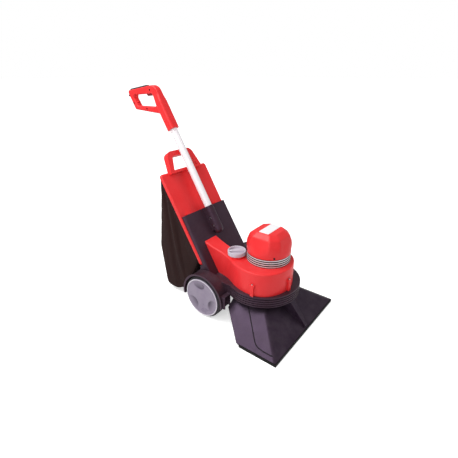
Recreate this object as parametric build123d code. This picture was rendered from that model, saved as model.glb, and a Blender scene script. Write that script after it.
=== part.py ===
"""Walk-behind suction carpet machine, modelled in millimetres.

Working axes: x across the machine (minus x is its right-hand side), y backwards from a line just
behind the front lip, z up from the floor. At the end every piece is moved so that the origin lies on
the floor under the middle of the machine.
"""
import os
from math import cos, degrees, radians, sin, tan

from build123d import *

# Fits and walls
RUN_FIT = 0.05
HAND_FIT = 0.4
SEAT_GAP = 0.3
WALL = 3.5

# Suction hood and the glide lip round its mouth
HOOD_WIDTH = 540.0
HOOD_FRONT = -16.0
HOOD_EDGE = 13.0
HOOD_SLOPE = 36.0
HOOD_ROOF = 137.0
HOOD_REAR = 300.0
MOUTH_REAR = 165.0
MOUTH_REAR_SLOPE = 31.0
NECK_RADIUS = 126.0
NECK_FLOOR = 88.0
HIP_ROUND = 24.0
RIB_TOP_WIDTH = 46.0
RIB_FOOT_WIDTH = 18.0
RIB_FOOT_HEIGHT = 16.0
RIB_CREST = 78.0
LIP_THICKNESS = 3.5
LIP_TURN_IN = 12.0

# Chassis with ribbed collar, shoulders and wheel arches
COLLAR_Y = 228.0
COLLAR_RADIUS = 172.0
COLLAR_FLOOR = 140.0
COLLAR_WALL = 6.0
COLLAR_RIBS = 4
COLLAR_RIB_PITCH = 11.0
COLLAR_GROOVE = 5.0
COLLAR_GROOVE_DEPTH = 4.0
COLLAR_THROAT = 112.0
DECK = 190.0
DECK_THICKNESS = 5.0
BODY_HALF = 156.0
BODY_FRONT = 300.0
BODY_REAR = 503.0
BODY_BOTTOM = 84.0
SHOULDER_TOP = 148.0
ARCH_DEPTH = 55.0
ARCH_OUTER = BODY_HALF + ARCH_DEPTH
SHOULDER_HALF = ARCH_OUTER - 7.0
ARCH_GAP = 7.0
ARCH_WALL = 5.0
ARCH_BEAD = 4.0

# Wheels and axle
WHEEL_RADIUS = 102.5
TYRE_THICKNESS = 8.0
WHEEL_WIDTH = 38.0
WHEEL_OUTER = ARCH_OUTER - 6.0
AXLE_Y = 426.0
AXLE_RADIUS = 6.0
AXLE_BOSS_RADIUS = 14.4
HUB_CAP_RISE = 9.0
HUB_CAP_RIM = 8.0
HOLLOW_COUNT = 3
HOLLOW_RADIUS = 26.0
HOLLOW_PITCH_RADIUS = 56.0
CLIP_RADIUS = 11.0
CLIP_THICKNESS = 1.5

# Scroll fan housing
MOTOR_Y = 204.0
VOLUTE_HEIGHT = 110.0
VOLUTE_BASE_RADIUS = 115.0
VOLUTE_END_RADIUS = 157.0
SPIRAL_START = -60.0
SPIRAL_MIDDLE = -141.0
SPIRAL_END = -180.0
CUTWATER_ANGLE = 110.0
TAIL_LEFT = -98.0
TAIL_RIGHT = -8.0
TAIL_END = 520.0
TAIL_RISE_START = 322.0
TAIL_RISE = 10.5
RIM_ROUND = 7.0
FAN_FLOOR_RADIUS = 162.0
FAN_FLOOR_THICKNESS = 5.0
INLET_RADIUS = 62.0
INLET_LIP = 9.0
LUG_ANGLES = (-172.0, -101.0, -20.0, 60.0)
LUG_WIDTH = 21.0
LUG_COLUMN = 15.0
LUG_HEIGHT = 12.0
LUG_TOP = 57.0
SCREW_RADIUS = 2.5
SCREW_HEAD_RADIUS = 4.5
SCREW_HEAD = 3.0

# Clean-out cap
CAP_X = -70.0
CAP_Y = 329.0
CAP_RADIUS = 42.0
CAP_HEIGHT = 19.0
CAP_WEB = 12.0
CAP_RECESS = 11.0
CAP_RIM = 6.0
CAP_PLUG_RADIUS = 27.0
CAP_PLUG_DEPTH = 10.0
CAP_NECK_RADIUS = 39.0
CAP_NECK_TOP = 309.0

# Motor, from its finned base ring upwards
FIN_RADIUS = 98.0
FIN_RING_HEIGHT = 40.0
FIN_COUNT = 3
FIN_GAP = 5.0
FIN_DEPTH = 7.0
BASE_FLOOR = 8.0
BASE_HUB_RADIUS = 22.0
BASE_HUB_DROP = 8.0
DOME_SIDES = 8
DOME_WALL = 3.0
DOME_BAND = 16.0
DOME_SHOULDER_RADIUS = 84.5
DOME_SHOULDER = 82.0
DOME_TOP_RADIUS = 64.0
DOME_HEIGHT = 101.0
DOME_ROUND = 5.0
DOME_SCREW_TURNS = (45, 135, 225, 315)
CAN_RADIUS = 60.0
CAN_WALL = 2.0
CAN_HEIGHT = 92.0
STATOR_HEIGHT = 50.0
STATOR_BORE = 34.0
ARMATURE_RADIUS = 32.0
ARMATURE_HEIGHT = 56.0
SHAFT_RADIUS = 6.0
BEARING_RADIUS = 16.0
BEARING_WIDTH = 11.0
IMPELLER_RADIUS = 97.0
IMPELLER_BLADES = 8
IMPELLER_HEIGHT = 68.0
IMPELLER_PLATE = 4.0
IMPELLER_TOP = 284.0
IMPELLER_HUB = 17.0
BLADE_THICKNESS = 4.0
BLADE_SWEEP = 26.0
NUT_WIDTH = 20.0
NUT_HEIGHT = 9.0

# Tower, handle tube and bag frame share one sloping plane
SLOPE = 58.5
TOWER_FOOT_Y = 414.0
TOWER_LENGTH = 310.0
TOWER_TOP_HALF = 146.0
TOWER_FOOT_HALF = BODY_HALF - WALL - SEAT_GAP
TOWER_DEPTH = 22.0
TOWER_ROUND = 8.0
LEDGE = 66.0
LEDGE_DEPTH = 40.0
LEDGE_LIP = 12.0
TUBE_RADIUS = 18.0
TUBE_WALL = 2.0
TUBE_HEIGHT = 23.0
TUBE_BOTTOM = 190.0
TUBE_TOP = 806.0
SOCKET_WALL = 5.0
TUBE_SCREWS = (212.0, 252.0)

# Bag frame with carry loop, and the dust bag
FRAME_HALF = 156.0
FRAME_THICKNESS = 12.0
FRAME_TOP = 529.0
FRAME_CORNER = 14.0
FRAME_EDGE = 6.0
WINDOW_HALF = 118.0
WINDOW_LOW = 96.0
WINDOW_HIGH = 286.0
TONGUE_X = 100.0
TONGUE_WIDTH = 36.0
TONGUE_THICKNESS = 6.0
TONGUE_DROP = 24.0
LOOP_HALF = 104.0
LOOP_TOP_HALF = 80.0
LOOP_HEIGHT = 92.0
LOOP_BAR = 26.0
LOOP_DEPTH = 30.0
LOOP_CORNER = 34.0
BAG_HALF = 150.0
BAG_WALL = 3.0
BAG_MOUTH_LOW = 97.0
BAG_MOUTH_HIGH = 524.0
BAG_TOP_REAR = (724.0, 553.0)
BAG_BACK = (763.0, 250.0)
BAG_BOTTOM_REAR = (734.0, 28.0)
BAG_BOTTOM_FRONT = (665.0, 21.0)
BAG_FRONT = (590.0, 60.0)
BAG_ROUND = 22.0

# D-grip in two halves, drawn in side view
ARM_HALF = 25.0
ARM_BOTTOM = 714.0
ARM_WALL = 4.0
BAR_HALF = 17.0
GRIP_FRONT_TOP = 1008.0
GRIP_REAR_TOP = (1072.0, 975.0)
GRIP_REAR_FOOT = (1018.0, 887.0)
GRIP_FOOT_HEIGHT = 877.0
GRIP_GAP = ((1033.0, 955.0), (885.0, 966.0), (853.0, 907.0), (997.0, 905.0))
GRIP_BEND = 48.0
GRIP_ROUND = 12.0
GRIP_EDGE = 7.0
GRIP_BAR_SCREW = 15.0
ARM_TAPER_START = 850.0
ARM_TAPER_END = 895.0
ARM_ROUND = 12.0
PAD_START = 928.0
PAD_LENGTH = 122.0
PAD_THICKNESS = 4.0
PAD_HALF = 13.0
TRIGGER_PIVOT = (890.0, 978.0)
TRIGGER_LENGTH = 44.0
TRIGGER_DROP = 9.0
TRIGGER_HALF = 7.0
TRIGGER_PIN_RADIUS = 2.0
TRIGGER_SWING = 6.0
SWITCH_LENGTH = 40.0
SWITCH_HEIGHT = 9.0
GLAND_RADIUS = 7.0
GLAND_LENGTH = 24.0
GLAND_SLOPE = -40.0
HOOK_LENGTH = 22.0
HOOK_THICKNESS = 8.0
HOOK_HEIGHT = 922.0

BOTTOM_UP = (Align.CENTER, Align.CENTER, Align.MIN)


def side_prism(points, half_width, middle=0.0):
    """Solid drawn in side view as (y, z) points and widened both ways across the machine."""
    outline = Plane.YZ.offset(middle) * Polygon(*points, align=None)
    return extrude(outline, amount=half_width, both=True)


def drum(radius, bottom, top, x=0.0, y=0.0):
    """Upright cylinder between two heights."""
    return Pos(x, y, bottom) * Cylinder(radius, top - bottom, align=BOTTOM_UP)


def cross_drum(radius, inner, outer, y, z):
    """Cylinder lying across the machine between two x places."""
    return extrude(Plane(origin=(inner, y, z), z_dir=(1, 0, 0)) * Circle(radius), amount=outer - inner)


def on_slope(along, out):
    """Side-view point (y, z) at a distance up the sloping plane and out from it."""
    tilt = radians(SLOPE)
    y = TOWER_FOOT_Y + along * cos(tilt) - out * sin(tilt)
    z = DECK + along * sin(tilt) + out * cos(tilt)
    return (y, z)


def slope_plane(along=0.0, out=0.0):
    """Plane lying on the slope, with its x across the machine and its y up the slope."""
    tilt = radians(SLOPE)
    y, z = on_slope(along, out)
    return Plane(origin=(0, y, z), x_dir=(1, 0, 0), z_dir=(0, -sin(tilt), cos(tilt)))


def slope_slab(points, front, depth):
    """Solid drawn on the slope as (x, along) points, reaching back from its front face."""
    plane = slope_plane(0, front)
    return extrude(plane * Polygon(*points, align=None), amount=depth, dir=-plane.z_dir)


def both_sides(shape):
    """The shape and its mirror image on the other side of the machine."""
    return shape + mirror(shape, about=Plane.YZ)


# Suction hood

def hood_block(inset):
    """Hip-roofed block of the hood, drawn in by the inset on every face."""
    rise = tan(radians(HOOD_SLOPE))
    run = (HOOD_ROOF - HOOD_EDGE) / rise
    half = HOOD_WIDTH / 2
    front = HOOD_FRONT + LIP_THICKNESS
    base = LIP_THICKNESS
    rear_height = base + (HOOD_REAR - MOUTH_REAR) * tan(radians(MOUTH_REAR_SLOPE))
    side_view = [(front, base), (front, HOOD_EDGE), (front + run, HOOD_ROOF), (HOOD_REAR, HOOD_ROOF),
                 (HOOD_REAR, rear_height), (MOUTH_REAR, base)]
    front_view = [(-half, base), (-half, HOOD_EDGE), (-half + run, HOOD_ROOF), (half - run, HOOD_ROOF),
                  (half, HOOD_EDGE), (half, base)]
    side_face = offset(Polygon(*side_view, align=None), amount=-inset) if inset else Polygon(*side_view, align=None)
    front_face = offset(Polygon(*front_view, align=None), amount=-inset) if inset else Polygon(*front_view, align=None)
    lengthwise = extrude(Plane.XZ.offset(-HOOD_FRONT) * front_face, amount=HOOD_REAR - HOOD_FRONT, dir=(0, 1, 0))
    across = extrude(Plane.YZ * side_face, amount=half, both=True)
    return across & lengthwise


def hood_hips(block):
    """The two hip edges between the front slope and the side slopes."""
    def is_hip(edge):
        run = edge.tangent_at(0)
        return min(abs(run.X), abs(run.Y), abs(run.Z)) > 0.1 and edge.center().Y < MOUTH_REAR
    return [edge for edge in block.edges() if is_hip(edge)]


def hood_rib():
    """Wedge on the middle line that props the neck on the front lip."""
    root = COLLAR_Y - NECK_RADIUS + WALL
    foot = HOOD_FRONT + 2 * LIP_THICKNESS
    crest = [(foot, HOOD_EDGE), (foot, HOOD_EDGE + RIB_FOOT_HEIGHT), (RIB_CREST, COLLAR_FLOOR),
             (root, COLLAR_FLOOR), (root, HOOD_EDGE)]
    plan = Polygon((-RIB_FOOT_WIDTH / 2, foot), (RIB_FOOT_WIDTH / 2, foot), (RIB_TOP_WIDTH / 2, root),
                   (-RIB_TOP_WIDTH / 2, root), align=None)
    return side_prism(crest, RIB_TOP_WIDTH) & extrude(plan, amount=COLLAR_FLOOR, dir=(0, 0, 1))


def hood_outer():
    block = hood_block(0)
    block = fillet(hood_hips(block), radius=HIP_ROUND)
    return block + drum(NECK_RADIUS, NECK_FLOOR, COLLAR_FLOOR, y=COLLAR_Y) + hood_rib()


def suction_hood():
    front = HOOD_FRONT + LIP_THICKNESS + WALL
    mouth = Pos(0, front, 0) * Box(
        HOOD_WIDTH - 2 * WALL, MOUTH_REAR - front - WALL, HOOD_EDGE,
        align=(Align.CENTER, Align.MIN, Align.MIN))
    throat = drum(NECK_RADIUS - WALL, NECK_FLOOR + WALL, COLLAR_FLOOR, y=COLLAR_Y)
    return hood_outer() - hood_block(WALL) - mouth - throat


def hood_lip():
    """Glide strip that wraps the front and sides of the mouth and turns in under its edge."""
    half = HOOD_WIDTH / 2

    def mouth_plan(inset):
        return Pos(0, HOOD_FRONT + inset) * Rectangle(
            2 * (half + LIP_THICKNESS - inset), MOUTH_REAR - HOOD_FRONT, align=(Align.CENTER, Align.MIN))
    strip = extrude(mouth_plan(0), amount=HOOD_EDGE) - extrude(mouth_plan(LIP_TURN_IN), amount=HOOD_EDGE)
    seat = Pos(0, 0, LIP_THICKNESS) * extrude(mouth_plan(LIP_THICKNESS), amount=HOOD_EDGE)
    behind = Pos(0, MOUTH_REAR, 0) * Box(
        2 * HOOD_WIDTH, HOOD_WIDTH, HOOD_WIDTH, align=(Align.CENTER, Align.MIN, Align.CENTER))
    return strip - seat - behind


# Chassis

def ribbed_collar():
    """Round collar under the fan housing, grooved outside, with a seat for the fan floor."""
    inner = COLLAR_RADIUS - COLLAR_WALL
    ring = drum(COLLAR_RADIUS, COLLAR_FLOOR, DECK, y=COLLAR_Y)
    ring -= drum(inner, COLLAR_FLOOR + COLLAR_WALL, DECK, y=COLLAR_Y)
    ring -= drum(COLLAR_THROAT, COLLAR_FLOOR, DECK, y=COLLAR_Y)
    seat_top = DECK - FAN_FLOOR_THICKNESS
    seat = drum(COLLAR_RADIUS - 1, seat_top - COLLAR_WALL, seat_top, y=COLLAR_Y)
    ring += seat - drum(FAN_FLOOR_RADIUS - 2 * COLLAR_WALL, COLLAR_FLOOR, DECK, y=COLLAR_Y)
    lip = drum(COLLAR_RADIUS - 1, seat_top, DECK, y=COLLAR_Y) - drum(FAN_FLOOR_RADIUS, COLLAR_FLOOR, DECK, y=COLLAR_Y)
    ring += lip
    for index in range(COLLAR_RIBS):
        low = COLLAR_FLOOR + COLLAR_GROOVE + index * COLLAR_RIB_PITCH
        groove = drum(COLLAR_RADIUS + 1, low, low + COLLAR_GROOVE, y=COLLAR_Y)
        ring -= groove - drum(COLLAR_RADIUS - COLLAR_GROOVE_DEPTH, low, low + COLLAR_GROOVE, y=COLLAR_Y)
    return ring


def shoulder_plan(inset):
    """Plan of the shoulders that join the collar to the wheel arches."""
    arch_front = AXLE_Y - WHEEL_RADIUS
    circle = Pos(0, COLLAR_Y) * Circle(COLLAR_RADIUS - COLLAR_WALL - inset)
    bar = Pos(0, arch_front + inset) * Rectangle(
        2 * (SHOULDER_HALF - inset), 2 * COLLAR_WALL, align=(Align.CENTER, Align.MIN))
    return make_hull(circle.edges() + bar.edges())


def shoulders():
    height = SHOULDER_TOP - BODY_BOTTOM
    solid = Pos(0, 0, BODY_BOTTOM) * extrude(shoulder_plan(0), amount=height)
    front_part = Pos(0, BODY_FRONT, 0) * Box(
        2 * HOOD_WIDTH, HOOD_WIDTH, HOOD_WIDTH, align=(Align.CENTER, Align.MAX, Align.CENTER))
    hollow = Pos(0, 0, BODY_BOTTOM) * extrude(shoulder_plan(WALL), amount=height - WALL)
    return solid - front_part - hollow


def body_shell():
    """Box behind the collar that carries the axle and the tower, open underneath."""
    length = BODY_REAR - BODY_FRONT
    box = Pos(0, BODY_FRONT, BODY_BOTTOM) * Box(
        2 * BODY_HALF, length, DECK - BODY_BOTTOM, align=(Align.CENTER, Align.MIN, Align.MIN))
    box = fillet(box.edges().filter_by(Axis.Z).sort_by(Axis.Y)[-2:], radius=RIM_ROUND)
    hollow = Pos(0, BODY_FRONT - WALL, BODY_BOTTOM) * Box(
        2 * (BODY_HALF - WALL), length, DECK - BODY_BOTTOM - DECK_THICKNESS, align=(Align.CENTER, Align.MIN, Align.MIN))
    return box - hollow


def wheel_arch():
    """Right-hand arch over the wheel, with a bead round its outer edge."""
    inner_radius = WHEEL_RADIUS + ARCH_GAP
    outer_radius = inner_radius + ARCH_WALL
    arch = cross_drum(outer_radius, -ARCH_OUTER, -BODY_HALF + WALL, AXLE_Y, WHEEL_RADIUS)
    arch += cross_drum(outer_radius + ARCH_BEAD, -ARCH_OUTER, -ARCH_OUTER + ARCH_BEAD, AXLE_Y, WHEEL_RADIUS)
    below = Pos(0, AXLE_Y, BODY_BOTTOM) * Box(
        2 * HOOD_WIDTH, HOOD_WIDTH, HOOD_WIDTH, align=(Align.CENTER, Align.CENTER, Align.MAX))
    return arch - below


def wheel_well():
    return cross_drum(WHEEL_RADIUS + ARCH_GAP, -ARCH_OUTER - 1, -BODY_HALF, AXLE_Y, WHEEL_RADIUS)


def axle_boss():
    return cross_drum(AXLE_BOSS_RADIUS, -BODY_HALF - WALL, -BODY_HALF + 4 * WALL, AXLE_Y, WHEEL_RADIUS)


def chassis_shell():
    shell = body_shell() + both_sides(wheel_arch()) + shoulders()
    shell -= drum(COLLAR_RADIUS - 1, BODY_BOTTOM, DECK, y=COLLAR_Y)
    shell -= both_sides(wheel_well())
    shell += ribbed_collar() + both_sides(axle_boss())
    shell -= cross_drum(AXLE_RADIUS, -HOOD_WIDTH, HOOD_WIDTH, AXLE_Y, WHEEL_RADIUS)
    for (x, y), angle in lug_places():
        shell -= drum(SCREW_RADIUS + RUN_FIT, DECK - FAN_FLOOR_THICKNESS, DECK, x, y)
    return shell - hood_outer()


# Wheels and axle, drawn for the right-hand side

def wheel_place(inner, outer, radius):
    """Drum on the right wheel's axis between two distances from the middle of the machine."""
    return cross_drum(radius, -outer, -inner, AXLE_Y, WHEEL_RADIUS)


def wheel_core():
    """Wheel body: rim, web behind the hub cap, hub and spokes, open on the inner side."""
    inner = WHEEL_OUTER - WHEEL_WIDTH
    rim_radius = WHEEL_RADIUS - TYRE_THICKNESS
    hub_radius = 3 * AXLE_RADIUS
    web = WHEEL_OUTER - 2 * WALL
    core = wheel_place(inner, WHEEL_OUTER, rim_radius) - wheel_place(inner, web, rim_radius - 2 * WALL)
    for turn in range(0, 180, 60):
        spoke = Box(web - inner, 2 * rim_radius - 2 * WALL, WALL)
        core += Pos(-(inner + web) / 2, AXLE_Y, WHEEL_RADIUS) * Rot(turn, 0, 0) * spoke
    core += wheel_place(inner, WHEEL_OUTER, hub_radius)
    core -= wheel_place(clip_seat(), WHEEL_OUTER, CLIP_RADIUS + 1)
    return core - wheel_place(inner, WHEEL_OUTER, AXLE_RADIUS + RUN_FIT)


def clip_seat():
    """Distance from the middle at which the axle clip holds the wheel."""
    return WHEEL_OUTER - 3 * WALL


def tyre():
    inner = WHEEL_OUTER - WHEEL_WIDTH
    band = wheel_place(inner, WHEEL_OUTER, WHEEL_RADIUS)
    band = fillet(band.edges().filter_by(GeomType.CIRCLE), radius=TYRE_THICKNESS / 2)
    return band - wheel_place(inner, WHEEL_OUTER, WHEEL_RADIUS - TYRE_THICKNESS)


def hub_cap():
    """Dished cap with a raised rim and three round hollows."""
    radius = WHEEL_RADIUS - TYRE_THICKNESS
    face = WHEEL_OUTER + HUB_CAP_RISE
    dish = HUB_CAP_RISE / 3
    cap = wheel_place(WHEEL_OUTER, face, radius)
    cap = fillet(cap.edges().filter_by(GeomType.CIRCLE).sort_by(Axis.X)[0], radius=dish)
    cap -= wheel_place(face - dish, face, radius - HUB_CAP_RIM)
    for index in range(HOLLOW_COUNT):
        turn = radians(90 + index * 360 / HOLLOW_COUNT)
        y = AXLE_Y + HOLLOW_PITCH_RADIUS * cos(turn)
        z = WHEEL_RADIUS + HOLLOW_PITCH_RADIUS * sin(turn)
        cap -= cross_drum(HOLLOW_RADIUS, -face, -face + 2 * dish, y, z)
    return cap


def axle():
    end = clip_seat() + 2 * CLIP_THICKNESS
    rod = cross_drum(AXLE_RADIUS, -end, end, AXLE_Y, WHEEL_RADIUS)
    groove = wheel_place(clip_seat(), clip_seat() + CLIP_THICKNESS, AXLE_RADIUS)
    groove -= wheel_place(clip_seat(), clip_seat() + CLIP_THICKNESS, AXLE_RADIUS - 1)
    return rod - both_sides(groove)


def axle_clips():
    start = clip_seat() + SEAT_GAP / 2
    end = clip_seat() + CLIP_THICKNESS
    clip = wheel_place(start, end, CLIP_RADIUS) - wheel_place(start, end, AXLE_RADIUS - 1)
    return both_sides(clip)


# Fan and its scroll housing

def polar(radius, angle):
    """Plan point round the motor axis."""
    return (radius * cos(radians(angle)), MOTOR_Y + radius * sin(radians(angle)))


def spiral_radius(angle):
    """Radius of the scroll wall, constant at the back and growing along the spiral."""
    share = (angle - SPIRAL_START) / (SPIRAL_END - SPIRAL_START)
    return VOLUTE_BASE_RADIUS + max(0.0, share) * (VOLUTE_END_RADIUS - VOLUTE_BASE_RADIUS)


def volute_plan(inset):
    """Plan of the housing: a round back, a growing spiral, and a tail that bends in to the tower."""
    base = VOLUTE_BASE_RADIUS - inset
    cutwater = polar(base, CUTWATER_ANGLE + 2 * degrees(inset / base))
    far_side = polar(base, (CUTWATER_ANGLE + SPIRAL_START) / 2)
    start, middle, end = [polar(spiral_radius(angle) - inset, angle)
                          for angle in (SPIRAL_START, SPIRAL_MIDDLE, SPIRAL_END)]
    tail = (TAIL_LEFT + inset, AXLE_Y)
    bend = ((end[0] + tail[0]) / 2, (end[1] + tail[1]) / 2)
    back = ThreePointArc(cutwater, far_side, start)
    front = TangentArc(start, middle, tangent=back % 1)
    side = TangentArc(middle, end, tangent=front % 1)
    outward = TangentArc(end, bend, tangent=side % 1)
    inward = TangentArc(bend, tail, tangent=outward % 1)
    close = Polyline(tail, (tail[0], TAIL_END), (TAIL_RIGHT - inset, TAIL_END), cutwater)
    lines = [back, front, side, outward, inward, close]
    return make_face([edge for line in lines for edge in line.edges()])


def volute_block(inset):
    """Housing block up to its roof, which curves upwards along the tail."""
    roof = DECK + VOLUTE_HEIGHT - inset
    tail_roof = roof + (TAIL_END - TAIL_RISE_START) * tan(radians(TAIL_RISE))
    rise = TangentArc((TAIL_RISE_START, roof), (TAIL_END, tail_roof), tangent=(1, 0))
    rest = Polyline((TAIL_RISE_START, roof), (0, roof), (0, DECK), (TAIL_END, DECK), (TAIL_END, tail_roof))
    side_view = make_face(rest.edges() + rise.edges())
    block = Pos(0, 0, DECK) * extrude(volute_plan(inset), amount=2 * VOLUTE_HEIGHT, dir=(0, 0, 1))
    return block & extrude(Plane.YZ * side_view, amount=HOOD_WIDTH, both=True)


def behind_tower_face(front=0.0):
    """Everything behind the tower's front face."""
    reach = 2 * HOOD_WIDTH
    return slope_slab([(-reach, -reach), (reach, -reach), (reach, reach), (-reach, reach)], front, reach)


def wall_radius(angle):
    """Distance from the motor axis to the outside of the housing's wall."""
    ray = Line(polar(0, angle), polar(2 * VOLUTE_END_RADIUS, angle))
    return (ray & volute_plan(0)).length


def lug_places():
    """Plan points of the screw lugs, with the direction that each one faces."""
    stand_off = SCREW_HEAD_RADIUS + SEAT_GAP
    return [(polar(wall_radius(angle) + stand_off, angle), angle) for angle in LUG_ANGLES]


def screw_lugs():
    """Columns on the housing's side with a wider head under each screw."""
    depth = 2 * SCREW_HEAD_RADIUS + WALL
    lugs = []
    for (x, y), angle in lug_places():
        place = Pos(x, y, DECK) * Rot(0, 0, angle) * Pos(SCREW_HEAD_RADIUS, 0, 0)
        column = place * Box(depth, LUG_COLUMN, LUG_TOP, align=(Align.MAX, Align.CENTER, Align.MIN))
        head = place * Pos(0, 0, LUG_TOP - LUG_HEIGHT) * Box(
            depth, LUG_WIDTH, LUG_HEIGHT, align=(Align.MAX, Align.CENTER, Align.MIN))
        lugs += [column, head]
    return lugs


def scroll_housing():
    outer = volute_block(0)
    roof = DECK + VOLUTE_HEIGHT
    rims = [edge for edge in outer.edges() if edge.center().Z > roof - 1 and not is_crosswise(edge)]
    outer = fillet(rims, radius=RIM_ROUND)
    for lug in screw_lugs():
        outer += lug
    outer += drum(CAP_NECK_RADIUS, DECK + VOLUTE_HEIGHT - WALL, CAP_NECK_TOP, CAP_X, CAP_Y)
    housing = outer - volute_block(WALL) - behind_tower_face()
    housing -= drum(CAP_PLUG_RADIUS + HAND_FIT, DECK, CAP_NECK_TOP, CAP_X, CAP_Y)
    housing -= drum(BASE_HUB_RADIUS + SEAT_GAP, DECK, 2 * DECK, y=MOTOR_Y)
    for (x, y), angle in lug_places():
        housing -= drum(SCREW_RADIUS + RUN_FIT, DECK, DECK + LUG_TOP, x, y)
    return housing


def is_crosswise(edge):
    """True for a straight edge that runs across the machine."""
    return abs(edge.tangent_at(0.5).X) > 0.99 and edge.geom_type == GeomType.LINE


def fan_floor():
    """Round plate with the inlet eye and its turned-down lip."""
    bottom = DECK - FAN_FLOOR_THICKNESS
    plate = drum(FAN_FLOOR_RADIUS - SEAT_GAP, bottom, DECK, y=COLLAR_Y)
    plate += drum(INLET_RADIUS + WALL, bottom - INLET_LIP, DECK, y=MOTOR_Y)
    plate -= drum(INLET_RADIUS, bottom - INLET_LIP, DECK, y=MOTOR_Y)
    for (x, y), angle in lug_places():
        plate -= drum(SCREW_RADIUS + RUN_FIT, bottom, DECK, x, y)
    return plate


def scroll_screws():
    bottom = DECK - FAN_FLOOR_THICKNESS
    screws = []
    for (x, y), angle in lug_places():
        shank = drum(SCREW_RADIUS, bottom, DECK + LUG_TOP, x, y)
        head = drum(SCREW_HEAD_RADIUS, DECK + LUG_TOP, DECK + LUG_TOP + SCREW_HEAD, x, y)
        screws.append(shank + head)
    return Compound(children=screws)


def impeller():
    """Open fan: back plate, hub and swept blades."""
    under = IMPELLER_TOP - IMPELLER_PLATE
    low = under - IMPELLER_HEIGHT
    fan = drum(IMPELLER_RADIUS, under, IMPELLER_TOP, y=MOTOR_Y) + drum(IMPELLER_HUB, low, IMPELLER_TOP, y=MOTOR_Y)
    root = IMPELLER_HUB - 1
    tip = IMPELLER_RADIUS - 1
    bow = ThreePointArc((root, 0), ((root + tip) / 2, BLADE_SWEEP / 2), (tip, 0))
    blade_plan = trace(bow, line_width=BLADE_THICKNESS)
    blade = extrude(blade_plan, amount=IMPELLER_HEIGHT, dir=(0, 0, 1))
    for index in range(IMPELLER_BLADES):
        fan += Pos(0, MOTOR_Y, low) * Rot(0, 0, index * 360 / IMPELLER_BLADES) * blade
    trim = drum(IMPELLER_RADIUS, low, IMPELLER_TOP, y=MOTOR_Y)
    return (fan & trim) - drum(SHAFT_RADIUS, low, IMPELLER_TOP, y=MOTOR_Y)


def impeller_low():
    return IMPELLER_TOP - IMPELLER_PLATE - IMPELLER_HEIGHT


def impeller_nut():
    low = impeller_low()
    nut = Pos(0, MOTOR_Y, low - NUT_HEIGHT) * extrude(RegularPolygon(NUT_WIDTH / 2, 6, major_radius=False), amount=NUT_HEIGHT)
    return nut - drum(SHAFT_RADIUS, low - NUT_HEIGHT, low, y=MOTOR_Y)


# Clean-out cap

def cleanout_cap():
    """Quarter-turn cap with a finger web between two hollows, and a plug in the neck."""
    seat = CAP_NECK_TOP + SEAT_GAP
    top = seat + CAP_HEIGHT
    cap = drum(CAP_RADIUS, seat, top)
    cap = fillet(cap.edges().filter_by(GeomType.CIRCLE).sort_by(Axis.Z)[-1], radius=CAP_RIM / 2)
    hollow = drum(CAP_RADIUS - CAP_RIM, top - CAP_RECESS, top) - Pos(0, 0, top) * Box(2 * CAP_RADIUS, CAP_WEB, 2 * CAP_HEIGHT)
    cap -= hollow
    cap += drum(CAP_PLUG_RADIUS, seat - CAP_PLUG_DEPTH, seat)
    cap -= drum(CAP_PLUG_RADIUS - WALL, seat - CAP_PLUG_DEPTH, seat)
    return Pos(CAP_X, CAP_Y, 0) * Rot(0, 0, 30) * cap


# Motor

MOTOR_SEAT = DECK + VOLUTE_HEIGHT
CAN_FLOOR = MOTOR_SEAT + BASE_FLOOR
DOME_SEAT = MOTOR_SEAT + FIN_RING_HEIGHT


def dome_screw_drum(radius, inner, outer):
    """Drum along x at the height of the dome screws, between two distances from the motor axis."""
    plane = Plane(origin=(inner, 0, DOME_SEAT + DOME_BAND / 2), z_dir=(1, 0, 0))
    return extrude(plane * Circle(radius), amount=outer - inner)


def dome_screws():
    seat = FIN_RADIUS
    screw = dome_screw_drum(SCREW_RADIUS, seat - 4 * DOME_WALL, seat)
    screw += dome_screw_drum(SCREW_HEAD_RADIUS, seat, seat + SCREW_HEAD / 2)
    return Compound(children=[Pos(0, MOTOR_Y, 0) * Rot(0, 0, turn) * screw for turn in DOME_SCREW_TURNS])


def motor_base_ring():
    """Finned ring with a floor that carries the motor and its lower bearing."""
    ring = drum(FIN_RADIUS, MOTOR_SEAT, DOME_SEAT) - drum(FIN_RADIUS - 2 * FIN_DEPTH, CAN_FLOOR, DOME_SEAT)
    pitch = FIN_RING_HEIGHT / (FIN_COUNT + 1)
    for index in range(FIN_COUNT):
        middle = MOTOR_SEAT + (index + 1) * pitch
        gap = drum(FIN_RADIUS + 1, middle - FIN_GAP / 2, middle + FIN_GAP / 2)
        ring -= gap - drum(FIN_RADIUS - FIN_DEPTH, middle - FIN_GAP / 2, middle + FIN_GAP / 2)
    lug_height = DOME_SEAT + DOME_BAND - DOME_WALL - CAN_FLOOR
    for turn in DOME_SCREW_TURNS:
        lug = Pos(FIN_RADIUS - DOME_WALL, 0, CAN_FLOOR) * Box(
            2 * DOME_WALL, LUG_WIDTH, lug_height, align=(Align.MAX, Align.CENTER, Align.MIN))
        hole = dome_screw_drum(SCREW_RADIUS + RUN_FIT, 0, FIN_RADIUS)
        ring += Rot(0, 0, turn) * (lug - hole)
    ring += drum(BASE_HUB_RADIUS, MOTOR_SEAT - BASE_HUB_DROP, CAN_FLOOR)
    ring -= drum(BEARING_RADIUS, CAN_FLOOR - BEARING_WIDTH, CAN_FLOOR)
    ring -= drum(SHAFT_RADIUS + 2, MOTOR_SEAT - BASE_HUB_DROP, CAN_FLOOR)
    return Pos(0, MOTOR_Y, 0) * ring


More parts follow.
